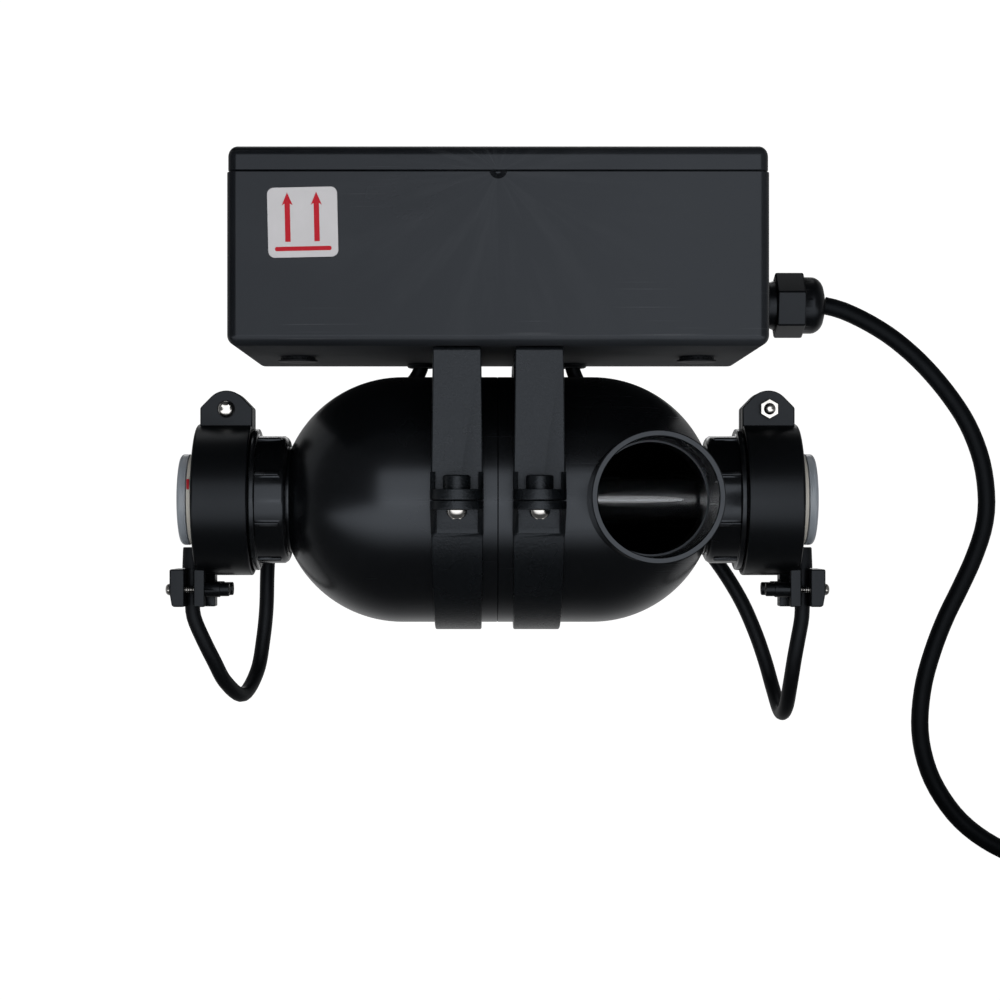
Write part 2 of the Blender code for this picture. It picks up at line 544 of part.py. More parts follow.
def joint_tab(centre_x, side, low, high):
    """A strap's round-ended ear at the front (side -1) or the back (side 1)."""
    start = 180 if side < 0 else 0
    ear = arc((centre_x, side * TAB_Y), TAB_R, start, start + 180, 8)
    root = [(centre_x - side * TAB_R, side * 50), (centre_x + side * TAB_R, side * 50)]
    return prism([*ear, *root], "Z", low, high)


def gussets(centre_x, outline):
    """Two thin webs, one at each edge of the strap."""
    edge, inner = STRAP_HALF_JOINT, STRAP_HALF_JOINT - WEB_THICKNESS
    reaches = ((-edge, -inner), (inner, edge))
    return [prism(outline, "X", centre_x + low, centre_x + high) for low, high in reaches]


def bracket_pockets(centre_x, side):
    """The hollows that leave a middle web between the saddle, the end wall and the top of a bracket."""
    saddle_r, wall_y, top_z = BAND_R + 0.6, BRACKET_Y - 3, BRACKET_TOP_Z - 3
    curve = arc((0, 0), saddle_r, 69.7, 8.9, 6)
    outline = [(side * wall_y, 8), (side * wall_y, top_z), (side * 18, top_z)]
    outline += [(side * y, z) for y, z in curve]
    reaches = ((-14, -1.25), (1.25, 14))
    return [prism(outline, "X", centre_x + low, centre_x + high) for low, high in reaches]


def make_bracket(end, centre_x, plastic):
    """The upper half of a clamp: a saddle on the chamber with a flat top that the box stands on."""
    low, y, top = JOINT_Z + GAP / 2, BRACKET_Y, BRACKET_TOP_Z
    saddle = arc((0, 0), STRAP_BORE_R, 0, 180, 20)[1:-1]
    outline = [(-y, low), (-y, top - 1), (-y + 1, top), (y - 1, top), (y, top - 1), (y, low),
               (STRAP_BORE_R, low), *saddle, (-STRAP_BORE_R, low)]
    body = widened(prism(outline, "X", centre_x - STRAP_HALF_TOP, centre_x + STRAP_HALF_TOP), centre_x)
    tabs, bosses, webs, holes, pockets = [], [], [], [], []
    for side in (-1, 1):
        tabs.append(joint_tab(centre_x, side, low, low + 4))
        bosses.append(rod("Z", low + 2, low + 9.2, 5, (centre_x, side * STRAP_SCREW_Y)))
        webs += gussets(centre_x, [(side * 57, low + 2), (side * 57, low + 10.5), (side * 60, low + 10.5),
                                   (side * 63.6, low + 2)])
        holes.append(rod("Z", low - 1, low + 8, 2.3, (centre_x, side * STRAP_SCREW_Y), 12))
        pockets += bracket_pockets(centre_x, side)
    holes.append(rod("Z", STRAP_BORE_R + 1.6, top + 1, BRACKET_SCREW_R + GAP, (centre_x, 0), 10))
    steps = [("DIFFERENCE", together(*pockets)), ("UNION", together(*tabs)), ("UNION", together(*webs)),
             ("UNION", together(*bosses)), ("DIFFERENCE", together(*holes))]
    add_solid(f"strap_bracket_{end}", body, plastic, steps, origin=(centre_x, 0, BRACKET_TOP_Z))


def make_band(end, centre_x, plastic):
    """The lower half of a clamp: a band round the chamber's underside."""
    high = JOINT_Z - GAP / 2
    outline = arc((0, 0), BAND_R, 181.3, 358.7, 20) + arc((0, 0), STRAP_BORE_R, 358.6, 181.4, 20)
    body = widened(prism(outline, "X", centre_x - STRAP_HALF_TOP, centre_x + STRAP_HALF_TOP), centre_x)
    tabs, webs, holes = [], [], []
    for side in (-1, 1):
        tabs.append(joint_tab(centre_x, side, high - 3.2, high))
        webs += gussets(centre_x, [(side * 49.6, high - 2.2), (side * 63.6, high - 2.2),
                                   (side * 62, high - 4.4), (side * 48.4, -14)])
        holes.append(rod("Z", high - 5, high + 1, 2.3, (centre_x, side * STRAP_SCREW_Y), 12))
    steps = [("UNION", together(*tabs)), ("UNION", together(*webs)), ("DIFFERENCE", together(*holes))]
    add_solid(f"strap_band_{end}", body, plastic, steps, origin=(centre_x, 0, 0))


def make_straps(plastic, steel):
    for end, side in ENDS:
        x = side * STRAP_X
        make_bracket(end, x, plastic)
        make_band(end, x, plastic)
        for place, y in (("front", -STRAP_SCREW_Y), ("rear", STRAP_SCREW_Y)):
            seat = JOINT_Z - GAP / 2 - 3.2 - GAP
            shape = screw_mesh("Z", seat, False, 2, 11, 3.9, 3.3, (x, y), 10)
            add_solid(f"strap_screw_{end}_{place}", shape, steel, origin=(x, y, seat))
        seat = BOX_FLOOR_Z + BOX_WALL + GAP
        shape = screw_mesh("Z", seat, True, BRACKET_SCREW_R, 8, 3.6, 2.2, (x, 0))
        add_solid(f"bracket_screw_{end}", shape, steel, origin=(x, 0, seat))


# Leads


def smooth_points(route, spacing):
    """Points a given distance apart on a Catmull-Rom curve through the route's points."""
    knots = [Vector(point) for point in route]
    knots = [2 * knots[0] - knots[1], *knots, 2 * knots[-1] - knots[-2]]
    fine = []
    for a, b, c, d in zip(knots, knots[1:], knots[2:], knots[3:]):
        for i in range(24):
            t = i / 24
            fine.append(0.5 * (2 * b + (c - a) * t + (2 * a - 5 * b + 4 * c - d) * t * t
                               + (3 * b - a - 3 * c + d) * t ** 3))
    fine.append(knots[-2])
    lengths = [0.0]
    for a, b in zip(fine, fine[1:]):
        lengths.append(lengths[-1] + (b - a).length)
    count = round(lengths[-1] / spacing)
    points, at = [], 0
    for i in range(count + 1):
        target = lengths[-1] * i / count
        while at < len(fine) - 2 and lengths[at + 1] < target:
            at += 1
        share = (target - lengths[at]) / max(lengths[at + 1] - lengths[at], 1e-9)
        points.append(fine[at].lerp(fine[at + 1], min(share, 1)))
    return points


def make_lead(name, route, radius, spacing, rubber):
    """A round lead as a bevelled curve with filled ends."""
    points = smooth_points(route, spacing)
    curve = bpy.data.curves.new(name, "CURVE")
    curve.dimensions = "3D"
    curve.bevel_depth = radius * MM
    curve.bevel_resolution = 2
    curve.use_fill_caps = True
    spline = curve.splines.new("POLY")
    spline.points.add(len(points) - 1)
    for knot, point in zip(spline.points, points):
        knot.co = (*(point * MM), 1)
    curve.materials.append(rubber)
    obj = bpy.data.objects.new(name, curve)
    bpy.context.scene.collection.objects.link(obj)
    return obj


def make_mains_lead(rubber):
    """The visible run of the mains cable, the coil of its spare length and the plug beside the coil."""
    make_lead("mains_cable", CABLE_ROUTE, CABLE_R, 15, rubber)
    top = SURFACE_Z + COIL_LAYERS * 2 * CABLE_R
    ring = [(SURFACE_Z, COIL_INNER_R), (SURFACE_Z, COIL_OUTER_R), (top, COIL_OUTER_R), (top, COIL_INNER_R)]
    coil = turned(ring, "Z", (COIL_X, COIL_Y), 32)
    add_solid("mains_cable_coil", coil, rubber, origin=(COIL_X, COIL_Y, SURFACE_Z))
    make_plug(rubber)


def make_plug(rubber):
    """A generic moulded three-pin plug lying on its back, pins up, with its lead entry towards the coil."""
    x, y0, y1, z = PLUG_X, PLUG_Y0, PLUG_Y1, SURFACE_Z
    outline = [(x - 17, y0), (x + 17, y0), (x + 25, y0 + 12), (x + 25, y1 - 6), (x + 19, y1), (x - 19, y1),
               (x - 25, y1 - 6), (x - 25, y0 + 12)]
    body = prism(outline, "Z", z, z + 19)
    sleeve = turned([(y0 - 22, 0), (y0 - 22, 4.6), (y0 + 3, 7), (y0 + 3, 0)], "Y", (x, z + 10.5), 12)
    pins = [block((x - 11 - 3.2, y0 + 14, z + 18), (x - 11 + 3.2, y0 + 18, z + 36.5)),
            block((x + 11 - 3.2, y0 + 14, z + 18), (x + 11 + 3.2, y0 + 18, z + 36.5)),
            block((x - 2, y0 + 34, z + 18), (x + 2, y0 + 42, z + 41.5))]
    steps = [("UNION", sleeve), ("UNION", together(*pins))]
    add_solid("mains_plug", body, rubber, steps, origin=(x, y0, z))


# Assembly


def hang_from(name, point, pieces):
    """Parents pieces to an empty on their joint, leaving them in place."""
    empty = bpy.data.objects.new(name, None)
    empty.location = Vector(point) * MM
    bpy.context.scene.collection.objects.link(empty)
    for piece in pieces:
        piece.location -= empty.location
        piece.parent = empty


def clear_scene():
    for obj in list(bpy.data.objects):
        bpy.data.objects.remove(obj)


def main():
    clear_scene()
    box_black = material("box_black", (0.032, 0.037, 0.043), 0.45)
    strap_black = material("strap_black", (0.028, 0.031, 0.035), 0.6)
    chamber_black = material("chamber_black", (0.012, 0.013, 0.015), 0.32)
    gloss_black = material("gloss_black", (0.008, 0.008, 0.009), 0.18)
    rubber = material("rubber_black", (0.01, 0.01, 0.011), 0.55)
    steel = material("stainless_steel", (0.62, 0.61, 0.59), 0.25, 1)
    grey_metal = material("ballast_grey", (0.3, 0.31, 0.32), 0.5)
    white_plastic = material("terminal_white", (0.6, 0.59, 0.55), 0.5)
    label_paper = material("label_paper", (0.55, 0.55, 0.58), 0.5)
    quartz = material("quartz", (0.8, 0.85, 0.9), 0.05, alpha=0.25)
    lamp_glass = material("lamp_glass", (0.75, 0.8, 0.85), 0.08, alpha=0.4)
    ceramic = material("ceramic_white", (0.7, 0.68, 0.62), 0.4)
    lens_clear = material("lens_clear", (0.5, 0.56, 0.6), 0.2, alpha=0.5)

    make_box_base(box_black)
    hang_from("lid_lift", (0, 0, SEAM_Z), make_lid(box_black, rubber, steel))
    make_box_contents(grey_metal, white_plastic)
    make_label(label_paper)
    make_floor_fittings(rubber)
    hang_from("gland_dome_nut_turn", (GLAND_TIP_X, 0, GLAND_Z), [make_gland(gloss_black)])
    make_chamber(chamber_black)
    make_lamp(quartz, lamp_glass, ceramic)
    nuts = make_sleeve_fittings(gloss_black, rubber)
    moving = make_end_covers(chamber_black) + make_cover_fastening(steel)
    moving += make_lamp_ends(white_plastic, lens_clear, rubber) + make_grips(chamber_black, steel)
    for end, side in ENDS:
        pieces = [nut for nut in nuts if nut.name.endswith(end)]
        hang_from(f"sleeve_nut_{end}_turn", (side * NUT_X1, 0, 0), pieces)
        pieces = [piece for piece in moving if piece.name.endswith(end)]
        hang_from(f"end_cover_{end}_pull", (side * COVER_X0, 0, 0), pieces)
    make_straps(strap_black, steel)
    make_mains_lead(rubber)
    make_lead("lamp_lead_left", LEFT_LEAD_ROUTE, LEAD_R, 9, rubber)
    make_lead("lamp_lead_right", RIGHT_LEAD_ROUTE, LEAD_R, 9, rubber)


main()
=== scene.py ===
"""The finished look of the UV clarifier: fine surfaces, cords, materials, studio and camera.

Lengths are millimetres until MM turns them into metres. +X runs along the lamp, +Y to the back, +Z up.
The object repeats itself when turned half round about Z, so most end pieces are made once and placed twice.
"""

import json
import math

import bmesh
import bpy
from mathutils import Matrix, Vector
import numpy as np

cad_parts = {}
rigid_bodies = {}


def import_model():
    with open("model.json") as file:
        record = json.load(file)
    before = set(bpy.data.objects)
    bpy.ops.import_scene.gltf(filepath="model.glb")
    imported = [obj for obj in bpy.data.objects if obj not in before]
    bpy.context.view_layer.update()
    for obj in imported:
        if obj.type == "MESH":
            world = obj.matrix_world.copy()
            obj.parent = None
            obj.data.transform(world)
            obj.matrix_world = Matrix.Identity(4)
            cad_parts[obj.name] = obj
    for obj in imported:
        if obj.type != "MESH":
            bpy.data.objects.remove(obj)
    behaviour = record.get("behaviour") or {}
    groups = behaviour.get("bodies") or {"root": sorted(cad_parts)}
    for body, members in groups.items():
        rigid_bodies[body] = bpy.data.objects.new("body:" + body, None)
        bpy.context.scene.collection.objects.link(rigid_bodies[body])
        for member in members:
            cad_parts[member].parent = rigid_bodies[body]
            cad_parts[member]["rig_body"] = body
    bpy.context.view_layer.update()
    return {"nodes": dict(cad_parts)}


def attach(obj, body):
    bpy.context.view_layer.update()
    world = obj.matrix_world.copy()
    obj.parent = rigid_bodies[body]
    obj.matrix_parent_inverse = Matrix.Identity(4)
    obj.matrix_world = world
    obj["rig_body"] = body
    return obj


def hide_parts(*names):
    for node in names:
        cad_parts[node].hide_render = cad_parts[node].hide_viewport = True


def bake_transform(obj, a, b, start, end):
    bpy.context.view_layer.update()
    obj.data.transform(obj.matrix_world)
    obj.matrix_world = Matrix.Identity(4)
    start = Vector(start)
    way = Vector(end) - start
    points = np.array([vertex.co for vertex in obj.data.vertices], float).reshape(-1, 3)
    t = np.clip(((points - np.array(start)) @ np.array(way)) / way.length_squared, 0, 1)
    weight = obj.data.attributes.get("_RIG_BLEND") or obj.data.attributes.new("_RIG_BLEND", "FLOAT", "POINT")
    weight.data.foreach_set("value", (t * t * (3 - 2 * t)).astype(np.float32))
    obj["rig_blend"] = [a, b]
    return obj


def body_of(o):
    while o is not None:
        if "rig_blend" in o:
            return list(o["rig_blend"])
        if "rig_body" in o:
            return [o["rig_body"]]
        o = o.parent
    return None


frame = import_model()

MM = 0.001
GAP = 0.3
ENDS = (("right", 1), ("left", -1))
HALF_TURN = Matrix.Rotation(math.pi, 4, "Z")
SHARP_ANGLE = math.radians(38)
NINE_STEPS = [math.radians(10 * i) for i in range(10)]  # of a quarter turn
ROUND = 96  # segments of a large round shape
SMALL_ROUND = 40  # segments of a small one

# Ballast box
BOX_LENGTH, BOX_DEPTH = 202, 120
BOX_FLOOR_Z, SEAM_Z, BOX_TOP_Z = 56.6, 121.3, 131
BOX_WALL, BOX_CORNER = 3, 4
POST_X, POST_Y, POST_R = 93.5, 52.5, 5
POSTS = [(x, y) for x in (-POST_X, POST_X) for y in (-POST_Y, POST_Y)]
LID_SCREW_HEAD_Z, PILOT_R = 126.6, 2.1
BALLAST_SIZE, BALLAST_AT = (120, 40, 31), (-10, -31)
TERMINALS_SIZE, TERMINALS_AT = (48, 16, 17), (48, 28)
LABEL_SIDE, LABEL_AT, LABEL_TILT = 26, (-72.5, 102.2), math.radians(1.3)
PLUG_HOLE_X = 79
GROMMET_X, GROMMET_Y = 31, 42

# Mains gland
GLAND_Z, GLAND_THREAD_R, GLAND_BODY_FLATS, GLAND_NUT_FLATS = 77, 9.8, 24, 22.8
GLAND_NUT_TURN = math.radians(11.5)
GLAND_TIP_X = 129.2

# UV chamber, sleeve and lamp
CHAMBER_R, CHAMBER_WALL, DOME_X = 48.5, 3, 37.5
PORT_X, PORT_R, PORT_BORE_R, PORT_STOP_R, PORT_END_Y = 57.6, 24.15, 21.85, 21.2, 87
NECK_R, NECK_END_X, NECK_BORE_R = 20.9, 92, 12
SLEEVE_R, SLEEVE_WALL, SLEEVE_HALF = 11.5, 1.5, 100
LAMP_R, LAMP_WALL, LAMP_HALF = 8, 0.8, 93.7
PIN_Z, PIN_R = 2.4, 1.2

# End fittings
NUT_X0, NUT_X1, NUT_R, RIB_COUNT = 82.2, 94, 25.2, 8
FLANGE_X1, FLANGE_R, SPIGOT_R, SPIGOT_END_X = 96.4, 28, 26.5, 110
COVER_X0, COVER_X1, COVER_R, COVER_WALL_X = 96.7, 118.5, 30, 112
LUG_X, LUG_Z, LUG_HALF_Y, LUG_SIDE_Z, LUG_ARC_Z, LUG_ARC_R = 106.8, 35.5, 7, 36.1, 34.3, 8.6
RING_R, RING_X1, LENS_R, LENS_X1 = 18.3, 119.6, 18, 125.2
GRIP_TOP_Z, GRIP_FOOT_Z, GRIP_HALF_Y = -27.5, -42.3, 11
GRIP_SCREW_Y, GRIP_SCREW_Z = 7.5, -35.5
JAW_INNER_X, JAW_OUTER_X0, JAW_OUTER_X1 = 119.2, 122.9, 128.7
LEAD_X, LEAD_R, BOOT_R, LEAD_GAP = 121, 3, 4, 0.45

# Strap clamps
STRAP_X, STRAP_HALF_TOP, STRAP_HALF_JOINT, WEB_THICKNESS = 15.35, 9, 9.9, 1.9
STRAP_BORE_R, BAND_R = 48.8, 51.4
BRACKET_Y, BRACKET_TOP_Z = 58, 56.3
JOINT_Z, TAB_R, TAB_Y, STRAP_SCREW_Y = -1, 10, 62, 63
BRACKET_SCREW_R = 1.6

# Cords
CABLE_R, SURFACE_Z = 3.5, -150
COIL_X, COIL_Y, COIL_TURN_R, COIL_LAYERS = 275, 49, 49, 4
PLUG_X, PLUG_Y0, PLUG_Y1 = 324, 116, 162
CABLE_ROUTE = [
    (129.6, 0, 77), (137, 0, 75), (147.5, 0, 70), (158, 0, 63.2), (169, 0, 53.4), (179.4, 0, 41.1),
    (187, 0, 29), (192.2, 0, 15), (194.1, 0, 0.5), (193, 0, -11), (189, 0, -23.2), (183.6, 0, -35.1),
    (177.8, 0, -47), (172.8, 0, -60), (169, 0, -74), (167.6, 0, -89), (169.3, 0, -101.8), (174, 0, -114),
    (183, 0, -126.6), (195, 0, -136), (209, 0, -142.3), (224, 0, -145.8), (236, 0, -146.5),
    (247, 0, -146.5), (261, 0, -146.5),
]
PLUG_ROUTE = [
    (324, 54, -125.6), (324, 64, -127.3), (324, 74, -131.2), (324, 84, -135.6), (324, 92, -138.6),
    (324, 99, -139.5), (324, 112, -139.5),
]
LEFT_LEAD_ROUTE = [
    (-31, 42, 72), (-31, 42, 63), (-31, 42, 57), (-33, 42.3, 51.5), (-37.5, 43, 46.5), (-45, 44, 40.5),
    (-56, 44, 34.5), (-70, 43, 29), (-82, 41, 20), (-90, 39, 5), (-93.6, 38, -12), (-94.7, 37.5, -28),
    (-95.1, 37, -44), (-96.3, 36, -57), (-98.3, 31, -70), (-102.9, 19, -78.7), (-108.7, 8, -73),
    (-112.9, 3.2, -64), (-116.8, 0.8, -55.5), (-120.2, 0, -47.3), (-121, 0, -41.5), (-121, 0, -32),
    (-121, 0, -19.2),
]
RIGHT_LEAD_ROUTE = [
    (31, 42, 72), (31, 42, 63), (31, 42, 57), (32.6, 42.6, 51.5), (36.5, 44.8, 44.5), (42.5, 48, 36),
    (52.5, 51.5, 20), (68.5, 51, 2), (82.5, 47.5, -14), (92.7, 45, -27), (101.3, 44, -41),
    (107.1, 43.5, -54), (111.2, 42.5, -66), (114, 38, -77.5), (115.6, 26, -86.2), (116.3, 14, -83.5),
    (116.9, 5, -73.5), (118, 1.4, -63.5), (119.4, 0.3, -55), (120.7, 0, -47.5), (121, 0, -41.5),
    (121, 0, -32), (121, 0, -19.2),
]

# Light
COOL_GLOSS = (0.86, 0.94, 1.06, 1)
FRONT_POOL, BACK_POOL, SIDE_POOL, WALL_SHARE = 1.6, 0.4, 0.05, 0.5
WHITE_TO_CAMERA = 0.96


# Materials

LOOKS = {}  # the material and the record's slot of each look


class Finish:
    """A Principled material built up from layers of procedural colour, roughness and bump."""

    def __init__(self, name, colour, roughness, metallic=0.0, specular=0.35):
        self.made = bpy.data.materials.new(name)
        self.made.use_nodes = True
        self.tree = self.made.node_tree
        self.shader = self.tree.nodes["Principled BSDF"]
        self.set("Base Color", (*colour, 1))
        self.set("Roughness", roughness)
        self.set("Metallic", metallic)
        self.set("Specular IOR Level", specular)
        if not metallic and max(colour) < 0.05:
            self.set("Specular Tint", COOL_GLOSS)
        self.place = self.node("ShaderNodeTexCoord").outputs["Object"]
        self.height = None

    def set(self, socket, value):
        self.shader.inputs[socket].default_value = value

    def node(self, kind, **values):
        made = self.tree.nodes.new(kind)
        for key, value in values.items():
            if key in made.inputs:
                made.inputs[key].default_value = value
            else:
                setattr(made, key, value)
        return made

    def link(self, source, target):
        self.tree.links.new(source, target)

    def stretched(self, scale, turn=(0, 0, 0)):
        mapping = self.node("ShaderNodeMapping", Scale=scale, Rotation=turn)
        self.link(self.place, mapping.inputs["Vector"])
        return mapping.outputs["Vector"]

    def noise(self, scale, detail=3.0, stretch=None, turn=(0, 0, 0)):
        made = self.node("ShaderNodeTexNoise", Scale=scale, Detail=detail)
        self.link(self.stretched(stretch, turn) if stretch else self.place, made.inputs["Vector"])
        return made.outputs["Fac"]

    def ranged(self, source, low, high, out_low=0.0, out_high=1.0):
        ends = {"From Min": low, "From Max": high, "To Min": out_low, "To Max": out_high}
        made = self.node("ShaderNodeMapRange", **ends)
        self.link(source, made.inputs["Value"])
        return made.outputs["Result"]

    def maths(self, operation, first, second):
        made = self.node("ShaderNodeMath", operation=operation)
        for socket, value in zip(made.inputs, (first, second)):
            if isinstance(value, (int, float)):
                socket.default_value = value
            else:
                self.link(value, socket)
        return made.outputs["Value"]

    def tint(self, mask, colour):
        """Mixes another colour over the base by a mask."""
        made = self.node("ShaderNodeMix", data_type="RGBA")
        base = self.shader.inputs["Base Color"]
        if base.links:
            self.link(base.links[0].from_socket, made.inputs[6])
        else:
            made.inputs[6].default_value = base.default_value[:]
        made.inputs[7].default_value = (*colour, 1)
        self.link(mask, made.inputs[0])
        self.link(made.outputs[2], base)

    def roughen(self, mask, amount):
        """Adds the mask times an amount to the roughness."""
        rough = self.shader.inputs["Roughness"]
        before = rough.links[0].from_socket if rough.links else rough.default_value
        self.link(self.maths("ADD", before, self.maths("MULTIPLY", mask, amount)), rough)

    def raise_by(self, mask, metres):
        """Adds the mask times a height to the bump."""
        layer = self.maths("MULTIPLY", mask, metres)
        self.height = self.maths("ADD", self.height, layer) if self.height else layer

    def done(self):
        if self.height:
            bump = self.node("ShaderNodeBump", Strength=1.0, Distance=1.0)
            self.link(self.height, bump.inputs["Height"])
            self.link(bump.outputs["Normal"], self.shader.inputs["Normal"])
        return self.made

    def blotches(self, scale, detail, low, high, amount, colour, stretch=None):
        """Patches of another colour."""
        self.tint(self.ranged(self.noise(scale, detail, stretch), low, high, 0, amount), colour)

    def scratches(self, turn, lighter, height=0.0, threshold=0.66):
        """Sparse hairlines along one direction."""
        hair = self.ranged(self.noise(9, 2, (1, 1, 150), turn), threshold, threshold + 0.03)
        patch = self.ranged(self.noise(14, 2), 0.5, 0.62)
        lines = self.maths("MULTIPLY", hair, patch)
        self.tint(self.maths("MULTIPLY", lines, 0.5), lighter)
        self.roughen(lines, 0.12)
        if height:
            self.raise_by(lines, height)

    def worn_edges(self, lighter, amount=0.5):
        """Paler, rougher plastic where an edge stands proud."""
        bend = self.node("ShaderNodeNewGeometry").outputs["Pointiness"]
        proud = self.ranged(bend, 0.52, 0.6)
        broken = self.maths("MULTIPLY", proud, self.ranged(self.noise(160, 4), 0.4, 0.62))
        self.tint(self.maths("MULTIPLY", broken, amount), lighter)
        self.roughen(broken, 0.15)


def box_plastic():
    """Satin ABS with flow marks that fan out from the gate at the middle of the front's top edge, and
    painted light and shade that make it paler towards +X.
    """
    made = Finish("box_abs", (0.0055, 0.0064, 0.0082), 0.2, specular=0.25)
    made.blotches(9, 4, 0.4, 0.7, 0.6, (0.011, 0.0125, 0.015), (1, 1, 2.2))
    place = made.node("ShaderNodeSeparateXYZ")
    made.link(made.place, place.inputs[0])
    rise = made.maths("SUBTRACT", place.outputs["Z"], SEAM_Z * MM)
    aside = place.outputs["X"]
    square = made.maths("ADD", made.maths("MULTIPLY", aside, aside), made.maths("MULTIPLY", rise, rise))
    reach = made.maths("SQRT", square, 0)
    fan = made.node("ShaderNodeCombineXYZ")
    made.link(made.maths("MULTIPLY", made.maths("ARCTAN2", aside, rise), 5), fan.inputs[0])
    made.link(made.maths("MULTIPLY", reach, 22), fan.inputs[1])
    rays = made.node("ShaderNodeTexNoise", Scale=1.0, Detail=4.0)
    made.link(fan.outputs[0], rays.inputs["Vector"])
    fading = made.ranged(reach, 0.004, 0.085, 1, 0)
    flow = made.maths("MULTIPLY", made.ranged(rays.outputs["Fac"], 0.46, 0.66), fading)
    # Painted light and shade: the colour grows paler towards +X and darker towards -X, as if the right end
    # were lit more brightly than the left.
    made.tint(made.ranged(aside, -0.08, 0.07, 0, 0.8), (0.018, 0.0202, 0.0235))
    made.tint(made.maths("MULTIPLY", flow, 0.6), (0.024, 0.026, 0.0295))
    made.roughen(flow, 0.06)
    smudge = made.ranged(made.noise(17, 5), 0.52, 0.7)
    made.roughen(smudge, 0.1)
    made.roughen(made.ranged(place.outputs["Z"], BOX_FLOOR_Z * MM, (BOX_FLOOR_Z + 2.5) * MM, 1, 0), 0.55)
    made.scratches((0.0, math.radians(4), 0.0), (0.07, 0.074, 0.08), -4e-6)
    made.scratches((0.0, math.radians(-9), 0.3), (0.08, 0.085, 0.09), -4e-6, 0.68)
    made.raise_by(made.noise(900, 3), 4e-6)
    made.raise_by(made.noise(60, 2), 8e-6)
    return made.done()


def strap_plastic():
    """Glass-filled nylon with a spark-eroded grain."""
    made = Finish("strap_nylon", (0.0035, 0.0045, 0.0055), 0.24, specular=0.3)
    cells = made.node("ShaderNodeTexVoronoi", Scale=1500.0)
    warp = made.node("ShaderNodeMix", data_type="VECTOR")
    warp.inputs[0].default_value = 0.0006
    made.link(made.place, warp.inputs[4])
    made.link(made.node("ShaderNodeTexNoise", Scale=400.0).outputs["Color"], warp.inputs[5])
    made.link(warp.outputs[1], cells.inputs["Vector"])
    made.raise_by(cells.outputs["Distance"], 3e-5)
    made.raise_by(made.noise(1100, 4), 8e-5)
    made.blotches(1100, 4, 0.45, 0.7, 0.6, (0.009, 0.0105, 0.0125))
    made.blotches(30, 3, 0.45, 0.75, 0.5, (0.008, 0.009, 0.011))
    made.roughen(made.noise(45, 3), 0.07)
    return made.done()


def chamber_plastic(name, roughness, specular):
    """Smooth satin moulding with faint ripples and a few rubs."""
    made = Finish(name, (0.0022, 0.0026, 0.0032), roughness, specular=specular)
    made.blotches(12, 4, 0.4, 0.75, 0.5, (0.0035, 0.004, 0.0048))
    made.roughen(made.ranged(made.noise(22, 4), 0.4, 0.7), 0.07)
    made.scratches((math.radians(35), 0.2, 0.0), (0.02, 0.021, 0.023), -2e-6, 0.7)
    made.raise_by(made.noise(70, 2), 5e-6)
    made.raise_by(made.noise(1400, 2), 1.2e-6)
    return made.done()


def gloss_plastic():
    """Polished nuts: near mirror black with wipe marks."""
    made = Finish("nut_gloss", (0.0022, 0.0025, 0.003), 0.15, specular=0.4)
    made.blotches(40, 3, 0.45, 0.75, 0.5, (0.004, 0.0045, 0.005))
    made.roughen(made.ranged(made.noise(90, 4, (1, 3, 1)), 0.45, 0.7), 0.13)
    made.worn_edges((0.04, 0.042, 0.045), 0.4)
    made.raise_by(made.noise(120, 2), 8e-6)
    return made.done()


def rubber(name, colour, roughness, specular):
    """Extruded or moulded rubber with bloom and a dusty film."""
    made = Finish(name, colour, roughness, specular=specular)
    made.blotches(70, 4, 0.5, 0.75, 0.45, tuple(2.1 * c for c in colour))
    made.roughen(made.noise(130, 3), 0.14)
    made.raise_by(made.noise(1600, 3), 7e-6)
    made.raise_by(made.noise(160, 2), 1.6e-5)
    return made.done()


def bare_metal(name, colour, roughness, stretch):
    """Metal with fine drawn lines and small stains."""
    made = Finish(name, colour, roughness, metallic=1.0, specular=0.5)
    made.blotches(260, 4, 0.5, 0.8, 0.5, tuple(0.62 * c for c in colour))
    made.roughen(made.noise(500, 3, stretch), 0.12)
    made.raise_by(made.noise(900, 2, stretch), 6e-6)
    return made.done()


def cast_metal():
    """Painted cast ballast."""
    made = Finish("ballast_paint", (0.24, 0.25, 0.26), 0.5)
    made.blotches(38, 5, 0.45, 0.7, 0.7, (0.16, 0.165, 0.17))
    made.roughen(made.noise(90, 3), 0.2)
    made.raise_by(made.noise(260, 4), 1.2e-4)
    made.worn_edges((0.45, 0.45, 0.44), 0.7)
    return made.done()


def pale_plastic(name, colour):
    """Moulded pale plastic or ceramic, a little yellowed in places."""
    made = Finish(name, colour, 0.42)
    made.blotches(60, 4, 0.45, 0.75, 0.5, tuple(c * fade for c, fade in zip(colour, (0.85, 0.8, 0.68))))
    made.roughen(made.noise(120, 3), 0.15)
    made.raise_by(made.noise(700, 3), 1e-5)
    return made.done()


def label_paper():
    made = Finish("label_paper", (0.62, 0.615, 0.635), 0.5, specular=0.25)
    made.blotches(95, 4, 0.45, 0.7, 0.5, (0.67, 0.665, 0.69))
    made.roughen(made.noise(200, 2), 0.12)
    made.raise_by(made.noise(1400, 4), 6e-6)
    return made.done()


def label_ink():
    made = Finish("label_ink", (0.5, 0.008, 0.022), 0.5, specular=0.2)
    made.blotches(1500, 3, 0.55, 0.75, 0.35, (0.58, 0.05, 0.07))
    made.roughen(made.noise(300, 2), 0.1)
    return made.done()


def glass(name, colour, roughness, transmission, ior, waviness):
    """Clear or milky material, slightly wavy and smudged."""
    made = Finish(name, colour, roughness, specular=0.5)
    made.set("Transmission Weight", transmission)
    made.set("IOR", ior)
    made.roughen(made.ranged(made.noise(60, 4), 0.5, 0.75), 0.03)
    made.raise_by(made.noise(110, 2, (0.2, 1, 1)), waviness)
    return made.done()


# Shapes: each function returns a mesh, in metres


